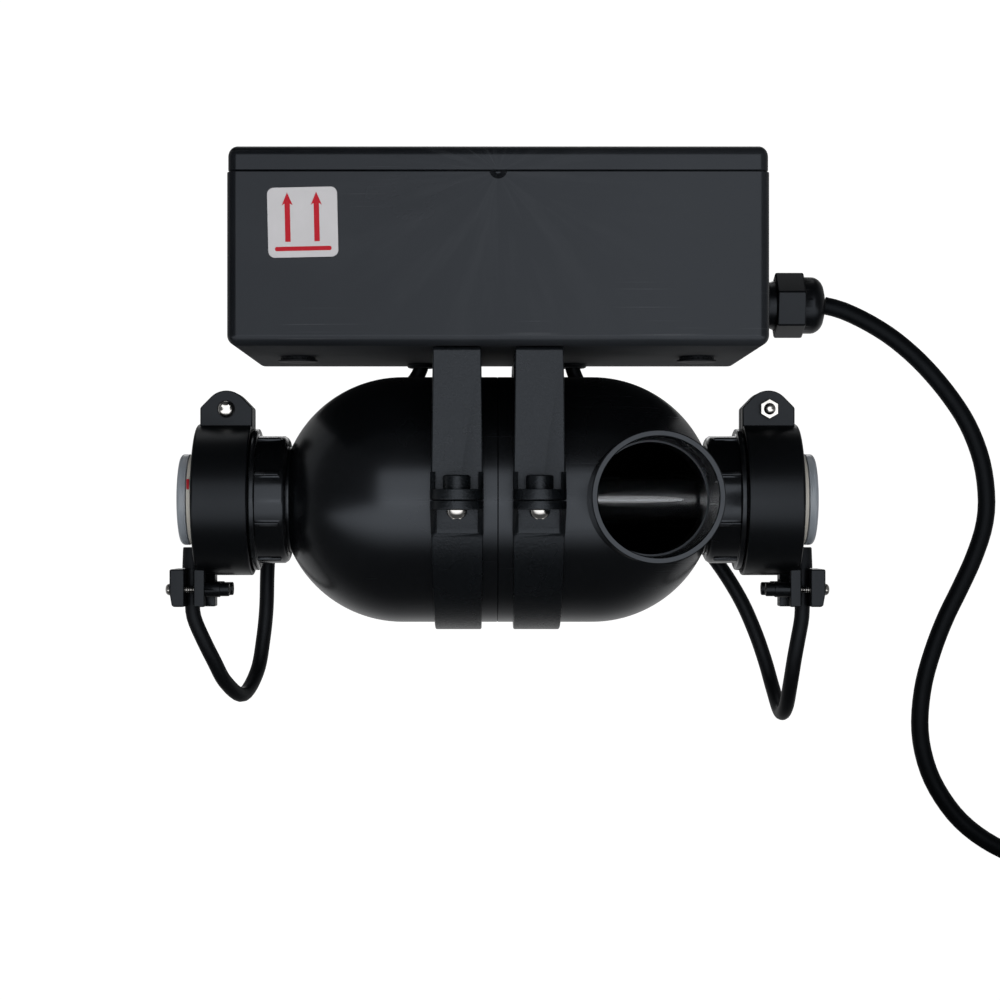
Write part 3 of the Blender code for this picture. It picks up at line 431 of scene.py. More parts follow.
def mesh_of(bm):
    bmesh.ops.recalc_face_normals(bm, faces=bm.faces)
    mesh = bpy.data.meshes.new("shape")
    bm.to_mesh(mesh)
    bm.free()
    return mesh


def loft(rings, closed=False):
    """Joins rings of points by strips of faces. A ring of one point is a pole. Open ends are capped."""
    bm = bmesh.new()
    rows = [[bm.verts.new(Vector(point) * MM) for point in ring] for ring in rings]
    pairs = list(zip(rows, rows[1:]))
    if closed:
        pairs.append((rows[-1], rows[0]))
    for low, high in pairs:
        count = max(len(low), len(high))
        for i in range(count):
            j = (i + 1) % count
            if len(low) == 1:
                bm.faces.new((low[0], high[j], high[i]))
            elif len(high) == 1:
                bm.faces.new((low[i], low[j], high[0]))
            else:
                bm.faces.new((low[i], low[j], high[j], high[i]))
    if not closed:
        for end in (rows[0], rows[-1]):
            if len(end) > 2:
                bm.faces.new(end)
    return mesh_of(bm)


def along(axis, distance, across):
    """A point at this distance along the axis, with its other two coordinates in X, Y, Z order."""
    point = list(across)
    point.insert("XYZ".index(axis), distance)
    return tuple(point)


def turned(profile, axis="X", centre=(0, 0), segments=ROUND):
    """A solid turned about an axis: profile holds (along, radius) points in order round its section."""
    rings = []
    for distance, radius in profile:
        count = segments if radius else 1
        angles = [math.tau * i / segments for i in range(count)]
        circle = [(centre[0] + radius * math.cos(a), centre[1] + radius * math.sin(a)) for a in angles]
        rings.append([along(axis, distance, point) for point in circle])
    return loft(rings, closed=bool(profile[0][1]))


def rod(axis, low, high, radius, centre=(0, 0), segments=SMALL_ROUND):
    return turned([(low, 0), (low, radius), (high, radius), (high, 0)], axis, centre, segments)


def prism(outline, axis, low, high):
    return loft([[along(axis, distance, point) for point in outline] for distance in (low, high)])


def block(low, high):
    corners = [(low[0], low[1]), (high[0], low[1]), (high[0], high[1]), (low[0], high[1])]
    return prism(corners, "Z", low[2], high[2])


def arc(centre, radius, start, end, steps):
    """Points on a circle from one angle to another, in degrees, both ends included."""
    angles = [math.radians(start + (end - start) * i / steps) for i in range(steps + 1)]
    return [(centre[0] + radius * math.cos(a), centre[1] + radius * math.sin(a)) for a in angles]


def rounded_rectangle(width, depth, radius, centre=(0, 0), steps=8):
    x, y = width / 2 - radius, depth / 2 - radius
    points = []
    for sx, sy, start in ((1, 1, 0), (-1, 1, 90), (-1, -1, 180), (1, -1, 270)):
        points += arc((centre[0] + sx * x, centre[1] + sy * y), radius, start, start + 90, steps)
    return points


def hexagon(flats, centre, turn=0):
    radius = flats / math.sqrt(3)
    angles = [turn + math.radians(90 + 60 * i) for i in range(6)]
    return [(centre[0] + radius * math.cos(a), centre[1] + radius * math.sin(a)) for a in angles]


def together(*meshes):
    bm = bmesh.new()
    for mesh in meshes:
        bm.from_mesh(mesh)
        bpy.data.meshes.remove(mesh)
    return mesh_of(bm)


def box_layers(layers):
    """The box's rounded outline at (z, inset) layers."""
    rings = []
    for z, inset in layers:
        corner = max(BOX_CORNER - inset, 0.6)
        outline = rounded_rectangle(BOX_LENGTH - 2 * inset, BOX_DEPTH - 2 * inset, corner)
        rings.append([(x, y, z) for x, y in outline])
    return rings


def evaluated(obj):
    """The object's mesh with its modifiers, after which the object is gone."""
    bpy.context.view_layer.update()
    made = bpy.data.meshes.new_from_object(obj.evaluated_get(bpy.context.evaluated_depsgraph_get()))
    spent = obj.data
    bpy.data.objects.remove(obj)
    bpy.data.meshes.remove(spent)
    return made


def linked(name, data):
    obj = bpy.data.objects.new(name, data)
    bpy.context.scene.collection.objects.link(obj)
    return obj


def shaded(mesh):
    """The mesh with smooth curves, sharp corners and flat faces that stay flat."""
    mesh.shade_smooth()
    mesh.set_sharp_from_angle(angle=SHARP_ANGLE)
    base = linked("base", mesh)
    modifier = base.modifiers.new("flat faces", "WEIGHTED_NORMAL")
    modifier.keep_sharp = True
    modifier.weight = 100
    return evaluated(base)


def add(*meshes):
    """A step that joins meshes to another."""
    return "UNION", meshes[0] if len(meshes) == 1 else together(*meshes)


def cut(*meshes):
    """A step that takes meshes away from another."""
    return "DIFFERENCE", meshes[0] if len(meshes) == 1 else together(*meshes)


def carved(mesh, steps=(), bevel=0.0):
    """The mesh after each add or cut step, with its sharp edges rounded."""
    base = linked("base", mesh)
    helpers = []
    for operation, other in steps:
        helpers.append(linked("helper", other))
        modifier = base.modifiers.new(operation, "BOOLEAN")
        modifier.operation = operation
        modifier.solver = "MANIFOLD"
        modifier.object = helpers[-1]
    if bevel:
        modifier = base.modifiers.new("rounded", "BEVEL")
        modifier.width = bevel * MM
        modifier.segments = 2
        modifier.limit_method = "ANGLE"
        modifier.angle_limit = math.radians(40)
        modifier.miter_outer = "MITER_ARC"
    made = evaluated(base)
    for helper in helpers:
        spent = helper.data
        bpy.data.objects.remove(helper)
        bpy.data.meshes.remove(spent)
    return shaded(made)


# Placing: each piece stands for its CAD node and rides on that node's body


def ride_along(name, mesh, look, body):
    """A piece that rides on a body and, on its own, stands for no CAD node."""
    finish, slot = LOOKS[look]
    obj = linked(name, mesh)
    mesh.materials.clear()
    mesh.materials.append(finish)
    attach(obj, body)
    return obj


def show(name, mesh, look):
    """A finished piece that replaces the CAD node of its name."""
    obj = ride_along(f"{name}_fine", mesh, look, body_of(frame["nodes"][name])[0])
    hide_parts(name)
    return obj


def show_pair(name, mesh, look):
    """The piece at the right end and, turned half round about Z, at the left end."""
    other = mesh.copy()
    other.transform(HALF_TURN)
    show(f"{name}_right", mesh, look)
    show(f"{name}_left", other, look)


def screw_mesh(axis, seat, points_up, radius, length, head_r, head_h, centre):
    """A pan-head screw with threads on its shank and a cross recess in its head."""
    way = 1 if points_up else -1
    dome = [(head_h * math.sin(a), head_r * math.cos(a) ** 0.7) for a in (0, 0.35, 0.7, 1.05, 1.3)]
    profile = [(way * head_h, 0), *[(way * h, r) for h, r in reversed(dome)], (0, radius)]
    turns = int(length / 0.8)
    for i in range(1, turns * 2):
        depth = 0.12 * radius if i % 2 else 0
        profile.append((-way * length * i / (turns * 2), radius - depth))
    profile += [(-way * length, radius * 0.4), (-way * length, 0)]
    body = turned([(seat + distance, r) for distance, r in profile], axis, centre, 32)
    top = seat + way * head_h
    low, high = sorted((top - way * 0.55 * head_h, top + way))
    arm, half = 0.58 * head_r, 0.11 * head_r + 0.12
    cuts = []
    for turn in (45, 135):
        c, s = math.cos(math.radians(turn)), math.sin(math.radians(turn))
        corners = [(arm, half), (-arm, half), (-arm, -half), (arm, -half)]
        outline = [(centre[0] + x * c - y * s, centre[1] + x * s + y * c) for x, y in corners]
        cuts.append(cut(prism(outline, axis, low, high)))
    return carved(body, cuts)


# Ballast box


def make_box_base():
    rounding = [(BOX_FLOOR_Z + BOX_CORNER * (1 - math.cos(a)), BOX_CORNER * (1 - math.sin(a)))
                for a in NINE_STEPS]
    outer = box_layers([*rounding, (SEAM_Z - 0.4, 0), (SEAM_Z - 0.1, 0.1), (SEAM_Z, 0.45)])
    inner = box_layers([(SEAM_Z, BOX_WALL), (BOX_FLOOR_Z + BOX_WALL + 1, BOX_WALL),
                        (BOX_FLOOR_Z + BOX_WALL, BOX_WALL + 1)])
    posts = [rod("Z", BOX_FLOOR_Z + 2, SEAM_Z - 0.05, POST_R, at) for at in POSTS]
    holes = [rod("Z", SEAM_Z - 21, SEAM_Z + 1, PILOT_R, at) for at in POSTS]
    notch = turned([(-BOX_DEPTH / 2 - 1, 0), (-BOX_DEPTH / 2 - 1, 4.4), (-BOX_DEPTH / 2, 3.4),
                    (-BOX_DEPTH / 2 + 1.8, 1.2), (-BOX_DEPTH / 2 + 1.8, 0)], "Y", (0, SEAM_Z + 0.5), 20)
    steps = [add(*posts), cut(*holes), cut(notch)]
    return carved(loft([*outer, *inner]), steps)


def make_lid():
    under = SEAM_Z + GAP
    crown = [(BOX_TOP_Z - BOX_CORNER * (1 - math.sin(a)), 0.4 + (BOX_CORNER - 0.4) * (1 - math.cos(a)))
             for a in NINE_STEPS]
    outer = box_layers([(under, 0.8), (under + 0.35, 0.4), *crown])
    inner = box_layers([(BOX_TOP_Z - BOX_WALL, 4), (BOX_TOP_Z - BOX_WALL - 1, 3.4), (under, 3.4)])
    bosses = [rod("Z", under + 0.05, BOX_TOP_Z - 2, POST_R, at) for at in POSTS]
    recesses = [rod("Z", LID_SCREW_HEAD_Z - GAP, BOX_TOP_Z + 1, 4.1, at) for at in POSTS]
    holes = [rod("Z", under - 1, BOX_TOP_Z + 1, PILOT_R, at) for at in POSTS]
    return carved(loft([*inner, *outer]), [add(*bosses), cut(*recesses), cut(*holes)])


def make_gasket():
    under = SEAM_Z + GAP
    rings = [(under, 1.5), (under + 0.2, 1.3), (under + 0.9, 1.3), (under + 1, 1.5),
             (under + 1, 2.3), (under + 0.9, 2.5), (under + 0.2, 2.5), (under, 2.3)]
    return carved(loft(box_layers(rings), closed=True))


def make_box():
    show("box_base", make_box_base(), "box")
    show("box_lid", make_lid(), "box")
    show("lid_gasket", make_gasket(), "rubber")
    for number, at in enumerate(POSTS, 1):
        shape = screw_mesh("Z", LID_SCREW_HEAD_Z, True, 1.8, 22, 3.7, 2.2, at)
        show(f"lid_screw_{number}", shape, "steel")


def make_box_contents():
    size, (x, y), z = BALLAST_SIZE, BALLAST_AT, BOX_FLOOR_Z + BOX_WALL + GAP
    outline = rounded_rectangle(size[0], size[1], 2, (x, y))
    show("ballast", carved(prism(outline, "Z", z, z + size[2]), bevel=0.8), "ballast")
    size, (x, y) = TERMINALS_SIZE, TERMINALS_AT
    low, high = (x - size[0] / 2, y - size[1] / 2, z), (x + size[0] / 2, y + size[1] / 2, z + size[2])
    pitch, steps = size[0] / 4, []
    for i in (1, 2, 3):
        middle = low[0] + pitch * i
        steps.append(cut(block((middle - 0.8, low[1] - 1, z + 9), (middle + 0.8, high[1] + 1, z + 18))))
    for i in range(4):
        middle = low[0] + pitch * (i + 0.5)
        for row in (-4, 4):
            steps.append(cut(rod("Z", z + 11, z + 18, 2.6, (middle, y + row))))
        steps.append(cut(rod("Y", low[1] - 1, high[1] + 1, 2.2, (middle, z + 5))))
    show("terminal_block", carved(block(low, high), steps, bevel=0.3), "terminal")


def arrow_outline(tip_x, tip_z, foot_z):
    """An upright arrow with swept barbs, as (x, z) points."""
    half, head, shaft = 2.05, 4.9, 1.0
    neck = tip_z - head + 0.7
    return [(tip_x, tip_z), (tip_x - half, tip_z - head), (tip_x - shaft, neck), (tip_x - shaft, foot_z),
            (tip_x + shaft, foot_z), (tip_x + shaft, neck), (tip_x + half, tip_z - head)]


def make_label():
    """A paper square with two arrows and a plain bar in place of words."""
    front = -BOX_DEPTH / 2 - GAP
    place = Matrix.Translation(Vector((LABEL_AT[0], front, LABEL_AT[1])) * MM)
    tilt = place @ Matrix.Rotation(-LABEL_TILT, 4, "Y")
    paper = carved(prism(rounded_rectangle(LABEL_SIDE, LABEL_SIDE, 2.5), "Y", -0.3, 0), bevel=0.08)
    paper.transform(tilt)
    show("orientation_label", paper, "paper")
    marks = [prism(arrow_outline(x, 11.2, -7.2), "Y", -0.36, -0.28) for x in (-5.6, 5.2)]
    marks.append(prism(rounded_rectangle(21, 1.6, 0.7, (0, -9.8)), "Y", -0.36, -0.28))
    print_mesh = carved(together(*marks))
    print_mesh.transform(tilt)
    ride_along("label_arrows", print_mesh, "ink", "clarifier")


def make_floor_fittings():
    under, over = BOX_FLOOR_Z - GAP, BOX_FLOOR_Z + BOX_WALL + GAP
    plug = [(under - 1.8, 0), (under - 1.8, 7.5), (under - 1.6, 7.9), (under - 1.1, 7.9), (under - 1, 6.9),
            (under, 6.9), (under, 6.2), (over, 6.2), (over, 0)]
    hole = LEAD_R + LEAD_GAP
    grommet = [(under - 1.4, hole + 1), (under - 1.4, 5.3), (under - 1.1, 5.9), (under - 0.3, 6.3),
               (under, 6.3), (under, 4.7), (over, 4.7), (over, 5.8), (over + 1.2, 5.2), (over + 1.2, hole),
               (under + 1, hole)]
    for end, side in ENDS:
        at = (side * PLUG_HOLE_X, 0)
        cuts = [block((at[0] - 4, -0.7, under - 3), (at[0] + 4, 0.7, under - 1.2))]
        for i in range(20):
            turn = math.tau * i / 20
            notch = (at[0] + 7 * math.cos(turn), 7 * math.sin(turn))
            cuts.append(rod("Z", under - 0.95, under - 0.05, 0.6, notch, 8))
        shape = carved(turned(plug, "Z", at, SMALL_ROUND), [cut(*cuts)])
        show(f"blanking_plug_{end}", shape, "rubber")
        at = (side * GROMMET_X, GROMMET_Y)
        shape = carved(turned(grommet, "Z", at, SMALL_ROUND))
        show(f"lead_grommet_{end}", shape, "rubber")


def make_gland():
    centre, wall_x = (0, GLAND_Z), BOX_LENGTH / 2
    threaded = [(wall_x - 13, 0), (wall_x - 13, GLAND_THREAD_R)]
    for i in range(17):
        threaded.append((wall_x - 12.5 + i * 1.5, GLAND_THREAD_R - (0.6 if i % 2 else 0)))
    threaded += [(wall_x + 15, GLAND_THREAD_R - 0.4), (wall_x + 15, 0)]
    flange = carved(prism(hexagon(GLAND_BODY_FLATS, centre), "X", wall_x + GAP, wall_x + 5), bevel=0.7)
    bore = [(wall_x - 14, 0), (wall_x - 14, 4.6), (wall_x + 9, 4.6), (wall_x + 9, 7), (wall_x + 17, 7),
            (wall_x + 17, 0)]
    steps = [add(flange), cut(turned(bore, "X", centre, SMALL_ROUND))]
    body = carved(turned(threaded, "X", centre, 64), steps)
    show("gland_body", body, "gland")
    inner_face = wall_x - BOX_WALL - GAP
    nut = carved(prism(hexagon(GLAND_BODY_FLATS, centre), "X", inner_face - 5, inner_face), bevel=0.5)
    thread = rod("X", inner_face - 6, inner_face + 1, GLAND_THREAD_R + GAP, centre)
    show("gland_locknut", carved(nut, [cut(thread)]), "gland")
    tip = GLAND_TIP_X
    dome = [(tip - 16, 0), (tip - 16, 11.2), (tip - 5, 11.2), (tip - 4, 11.05), (tip - 3, 10.6),
            (tip - 2, 9.9), (tip - 1.2, 9), (tip - 0.6, 7.9), (tip - 0.3, 6.8), (tip, 5.6), (tip, 0)]
    flats = hexagon(GLAND_NUT_FLATS, centre, GLAND_NUT_TURN)
    hexed = carved(prism(flats, "X", tip - 19.4, tip - 8), bevel=0.8)
    hollow = [(tip - 20, 0), (tip - 20, 10.1), (tip - 12.4, 10.1), (tip - 9, 7.6), (tip - 6.6, 7),
              (tip - 5, 4.4), (tip + 1, 4.2), (tip + 1, 0)]
    steps = [add(hexed), cut(turned(hollow, "X", centre, 48))]
    show("gland_dome_nut", carved(turned(dome, "X", centre, 72), steps), "gland")


# UV chamber and lamp


def dome_profile(radius, start_x):
    quarter = arc((DOME_X, 0), radius, 90, 0, 30)
    return [(start_x, 0), (start_x, radius), *quarter[:-1], (DOME_X + radius, 0)]


def make_chamber():
    """Dome, neck and port with its stop ring."""
    seam = 0.03
    shell = dome_profile(CHAMBER_R, seam)
    shell[1:2] = [(seam, CHAMBER_R - 0.2), (seam + 0.2, CHAMBER_R)]
    mouth = -PORT_END_Y
    port = [(mouth, 0), (mouth, PORT_R - 0.35), (mouth + 0.35, PORT_R), (-20, PORT_R), (-20, 0)]
    neck = rod("X", 60, NECK_END_X, NECK_R, segments=72)
    bore = [(mouth - 1, 0), (mouth - 1, PORT_BORE_R + 0.5), (mouth, PORT_BORE_R + 0.35),
            (mouth + 0.4, PORT_BORE_R), (-47, PORT_BORE_R), (-47, PORT_STOP_R), (-18, PORT_STOP_R), (-18, 0)]
    steps = [
        add(turned(port, "Y", (PORT_X, 0))),
        add(neck),
        cut(turned(dome_profile(CHAMBER_R - CHAMBER_WALL, -1))),
        cut(turned(bore, "Y", (PORT_X, 0))),
        cut(rod("X", 60, NECK_END_X + 1, NECK_BORE_R, segments=64)),
    ]
    show_pair("chamber", carved(turned(shell, segments=128), steps), "chamber")


def make_lamp():
    for name, radius, wall, half, look in (
        ("quartz_sleeve", SLEEVE_R, SLEEVE_WALL, SLEEVE_HALF, "quartz"),
        ("lamp_tube", LAMP_R, LAMP_WALL, LAMP_HALF, "lamp"),
    ):
        inner = radius - wall
        ring = [(-half, inner + 0.2), (-half, radius - 0.2), (-half + 0.2, radius), (half - 0.2, radius),
                (half, radius - 0.2), (half, inner + 0.2), (half - 0.2, inner), (-half + 0.2, inner)]
        show(name, carved(turned(ring, segments=64)), look)
    start, end, radius = LAMP_HALF + GAP, LAMP_HALF + 9.7, LAMP_R + 0.5
    cap = turned([(start, 0), (start, radius - 0.3), (start + 0.3, radius), (end - 0.6, radius),
                  (end, radius - 0.6), (end, 0)], segments=48)
    pins = [rod("X", LAMP_HALF + 8, LAMP_HALF + 15.8, PIN_R, (0, z), 20) for z in (-PIN_Z, PIN_Z)]
    show_pair("lamp_cap", carved(cap, [add(*pins)]), "ceramic")


# End fittings


def make_sleeve_fittings():
    profile = [
        (NUT_X0, NECK_R + GAP), (NUT_X0, NUT_R - 1.8), (NUT_X0 + 0.5, NUT_R - 0.9), (NUT_X0 + 1.8, NUT_R),
        (NUT_X1, NUT_R), (NUT_X1, FLANGE_R - 0.6), (NUT_X1 + 0.2, FLANGE_R - 0.15), (NUT_X1 + 0.6, FLANGE_R),
        (FLANGE_X1 - 0.6, FLANGE_R), (FLANGE_X1 - 0.2, FLANGE_R - 0.15), (FLANGE_X1, FLANGE_R - 0.6),
        (FLANGE_X1, SPIGOT_R), (SPIGOT_END_X - 0.4, SPIGOT_R), (SPIGOT_END_X, SPIGOT_R - 0.4),
        (SPIGOT_END_X, 20), (97.5, 20), (97.5, SLEEVE_R + 0.7), (95.6, SLEEVE_R + 0.7), (95.6, 16.1),
        (NECK_END_X + GAP, 16.1), (NECK_END_X + GAP, NECK_R + GAP),
    ]
    rib = carved(block((NUT_X0 + 2.6, -0.85, NUT_R - 1), (NUT_X1 + 0.3, 0.85, NUT_R + 0.9)), bevel=0.4)
    ribs = []
    for i in range(RIB_COUNT):
        ribs.append(rib.copy())
        ribs[-1].transform(Matrix.Rotation(math.tau * (i + 0.5) / RIB_COUNT, 4, "X"))
    nut = carved(turned(profile), [add(*ribs)])
    show_pair("sleeve_nut", nut, "gloss")
    ring = turned(arc((93.8, 13.8), 1.5, 0, 345, 23), segments=64)
    show_pair("sleeve_seal", carved(ring), "rubber")


def lug_outline():
    low, high = LUG_X - 10.3, LUG_X + 10.3
    return [(low, 27.6), (high, 27.6), (high, LUG_SIDE_Z), *arc((LUG_X, LUG_ARC_Z), LUG_ARC_R, 45, 135, 16),
            (low, LUG_SIDE_Z)]


def grip_groove(radius):
    return rod("Z", GRIP_FOOT_Z - 1, GRIP_TOP_Z + 3, radius, (LEAD_X, 0))


def rounded_rim(x, radius, rounding):
    """The rounded outer edge of a turned end, as (along, radius) points."""
    return [(x - rounding + rounding * math.sin(a), radius - rounding + rounding * math.cos(a))
            for a in (0, 0.4, 0.8, 1.2, 1.57)]


def make_end_covers():
    x0, x1, wall_x, radius = COVER_X0, COVER_X1, COVER_WALL_X, COVER_R
    inner = SPIGOT_R + GAP
    profile = [(x0, inner + 0.3), (x0, radius - 0.6), (x0 + 0.15, radius - 0.2), (x0 + 0.6, radius),
               *rounded_rim(x1, radius, 1.2), (x1, RING_R), (RING_X1 - 0.3, RING_R),
               (RING_X1, RING_R - 0.3), (RING_X1, 15.3), (wall_x, 15.3), (wall_x, inner)]
    slit = [(x0 - 1, 25), (wall_x, 25), (wall_x, radius + 0.6), (x1, radius + 0.6), (x1, 45), (x0 - 1, 45)]
    sides = (-GRIP_SCREW_Y, GRIP_SCREW_Y)
    boss = [(105.5, 0), (105.5, 2.35), (105.8, 2.65), (108.9, 2.65), (109, 2.75), (109.25, 3), (116, 3),
            (116, 0)]
    bosses = [turned(boss, "X", (y, GRIP_SCREW_Z), SMALL_ROUND) for y in sides]
    holes = [rod("X", 106.5, 122, 1.7, (y, GRIP_SCREW_Z), 24) for y in sides]
    tip_holes = [rod("X", 105, 107, 1.5, (y, GRIP_SCREW_Z), 6) for y in sides]
    holes.append(rod("Y", -LUG_HALF_Y - 1, LUG_HALF_Y + 1, 2.3, (LUG_X, LUG_Z)))
    jaw = block((114.9, -GRIP_HALF_Y, GRIP_FOOT_Z), (JAW_INNER_X, GRIP_HALF_Y, GRIP_TOP_Z))
    steps = [
        add(carved(prism(lug_outline(), "Y", -LUG_HALF_Y, LUG_HALF_Y), bevel=0.5)),
        add(carved(jaw, bevel=0.5)),
        add(carved(block((111.5, -4, GRIP_FOOT_Z), (115.5, 4, GRIP_TOP_Z)), bevel=0.4)),
        add(*bosses),
        cut(prism(slit, "Y", -1, 1)),
        cut(*holes),
        cut(*tip_holes),
        cut(grip_groove(LEAD_R + LEAD_GAP)),
        cut(rod("Z", GRIP_TOP_Z, -RING_R - GAP, BOOT_R + GAP, (LEAD_X, 0))),
    ]
    show_pair("end_cover", carved(turned(profile), steps), "cover")


def make_cover_fastening():
    seat = LUG_HALF_Y + GAP
    screw = screw_mesh("Y", seat, True, 2, 2 * seat + 4.6, 3.5, 2.4, (LUG_X, LUG_Z))
    show_pair("cover_screw", screw, "steel")
    nut = carved(prism(hexagon(7, (LUG_X, LUG_Z)), "Y", -seat - 3.2, -seat), bevel=0.35)
    nut = carved(nut, [cut(rod("Y", -seat - 4, -seat + 1, 2.3, (LUG_X, LUG_Z)))])
    show_pair("cover_nut", nut, "steel")


def make_lamp_ends():
    socket = [(103.8, 0), (103.8, 11.6), (104.2, 12), (109, 12), (109, 19.4), (111.7, 19.4), (111.7, 13),
              (115, 13), (115, 0)]
    holes = [rod("X", 103, 110.4, PIN_R + 0.4, (0, z), 24) for z in (-PIN_Z, PIN_Z)]
    shape = carved(turned(socket, segments=48), [cut(*holes)])
    show_pair("lamp_socket", shape, "terminal")
    seat, rim = RING_X1 + GAP, LENS_X1
    lens = [(rim - 1.4, 0), (rim - 1.4, 13.6), (118.5, 13.6), (118.5, 15), (seat, 15), (seat, 15.9),
            (seat + 1.6, 15.9), (seat + 1.6, 17.2), (seat + 1.9, LENS_R),
            *rounded_rim(rim, LENS_R, 1.6), (rim, 13), (rim - 0.3, 12.6), (rim - 0.3, 0)]
    show_pair("end_lens", carved(turned(lens)), "lens")
    band = carved(turned([(seat, 16.1), (seat, 17.8), (seat + 1.4, 17.8), (seat + 1.4, 16.1)]))
    mark = carved(block((-seat - 1.3, -17.4, 2.6), (-seat - 0.2, -15.6, 7.8)), bevel=0.2)
    other = band.copy()
    other.transform(HALF_TURN)
    ride_along("lens_band_right", band, "ceramic", "cover_right")
    ride_along("lens_band_left", other, "ceramic", "cover_left")
    ride_along("lens_mark_left", mark, "mark", "cover_left")
    bore, low, high = LEAD_R + GAP, GRIP_TOP_Z + GAP, -RING_R - 2 * GAP
    boot = [(low, bore), (low, BOOT_R), (high - 0.5, BOOT_R - 0.3), (high, BOOT_R - 0.5), (high, bore)]
    shape = carved(turned(boot, "Z", (LEAD_X, 0), SMALL_ROUND))
    show_pair("lead_boot", shape, "rubber")


def make_grips():
    inner_x, outer_x = JAW_OUTER_X0, JAW_OUTER_X1
    outline = [(inner_x, GRIP_FOOT_Z), (outer_x - 1.4, GRIP_FOOT_Z), (outer_x - 0.8, GRIP_FOOT_Z + 0.8),
               (outer_x, GRIP_FOOT_Z + 5.5), (outer_x, GRIP_TOP_Z), (inner_x, GRIP_TOP_Z)]
    sides = (("front", -GRIP_SCREW_Y), ("rear", GRIP_SCREW_Y))
    holes = [rod("X", inner_x - 1, outer_x + 1, 1.9, (y, GRIP_SCREW_Z), 24) for _, y in sides]
    steps = [cut(*holes), cut(grip_groove(LEAD_R + LEAD_GAP))]
    jaw = carved(prism(outline, "Y", -GRIP_HALF_Y, GRIP_HALF_Y), bevel=0.6)
    show_pair("grip_jaw", carved(jaw, steps), "cover")
    for place, y in sides:
        shape = screw_mesh("X", outer_x + GAP, True, 1.4, 21, 2.3, 1.6, (y, GRIP_SCREW_Z))
        show_pair(f"grip_screw_{place}", shape, "steel")


# Strap clamps


def widened(mesh, centre_x):
    """A strap grows wider from the box down to its joint, and narrower again below it."""
    fall = BRACKET_TOP_Z - JOINT_Z
    for vertex in mesh.vertices:
        share = 1 - min(abs(vertex.co.z / MM - JOINT_Z) / fall, 1)
        half = STRAP_HALF_TOP + (STRAP_HALF_JOINT - STRAP_HALF_TOP) * share
        vertex.co.x = centre_x * MM + (vertex.co.x - centre_x * MM) * half / STRAP_HALF_TOP
    return mesh


def joint_tab(centre_x, side, low, high):
    start = 180 if side < 0 else 0
    ear = arc((centre_x, side * TAB_Y), TAB_R, start, start + 180, 28)
    root = [(centre_x - side * TAB_R, side * 50), (centre_x + side * TAB_R, side * 50)]
    return carved(prism([*ear, *root], "Z", low, high), bevel=0.35)


def gussets(centre_x, outline):
    """Two thin webs, one at each edge of the strap."""
    edge, inner = STRAP_HALF_JOINT, STRAP_HALF_JOINT - WEB_THICKNESS
    reaches = ((-edge, -inner), (inner, edge))
    return [carved(prism(outline, "X", centre_x + low, centre_x + high), bevel=0.3) for low, high in reaches]


def bracket_pockets(centre_x, side):
    saddle_r, wall_y, top_z = BAND_R + 0.6, BRACKET_Y - 3, BRACKET_TOP_Z - 3
    curve = arc((0, 0), saddle_r, 69.7, 8.9, 24)
    outline = [(side * wall_y, 8), (side * wall_y, top_z), (side * 18, top_z)]
    outline += [(side * y, z) for y, z in curve]
    reaches = ((-14, -1.25), (1.25, 14))
    return [prism(outline, "X", centre_x + low, centre_x + high) for low, high in reaches]


def make_bracket(centre_x):
    low, y, top = JOINT_Z + GAP / 2, BRACKET_Y, BRACKET_TOP_Z
    saddle = arc((0, 0), STRAP_BORE_R, 0, 180, 72)[1:-1]
    outline = [(-y, low), (-y, top - 1), (-y + 1, top), (y - 1, top), (y, top - 1), (y, low),
               (STRAP_BORE_R, low), *saddle, (-STRAP_BORE_R, low)]
    body = prism(outline, "X", centre_x - STRAP_HALF_TOP, centre_x + STRAP_HALF_TOP)
    body = widened(carved(body, bevel=0.55), centre_x)
    tabs, bosses, webs, holes, pockets = [], [], [], [], []
    for side in (-1, 1):
        tabs.append(joint_tab(centre_x, side, low, low + 4))
        boss = [(low + 2, 0), (low + 2, 5.1), (low + 8.7, 5.1), (low + 9.2, 4.6), (low + 9.2, 0)]
        bosses.append(turned(boss, "Z", (centre_x, side * STRAP_SCREW_Y), SMALL_ROUND))
        webs += gussets(centre_x, [(side * 57, low + 2), (side * 57, low + 10.5), (side * 60, low + 10.5),
                                   (side * 63.6, low + 2)])
        holes.append(rod("Z", low - 1, low + 8, 2.3, (centre_x, side * STRAP_SCREW_Y)))
        pockets += bracket_pockets(centre_x, side)
    holes.append(rod("Z", STRAP_BORE_R + 1.6, top + 1, BRACKET_SCREW_R + GAP, (centre_x, 0)))
    return carved(body, [cut(*pockets), add(*tabs), add(*webs), add(*bosses), cut(*holes)])


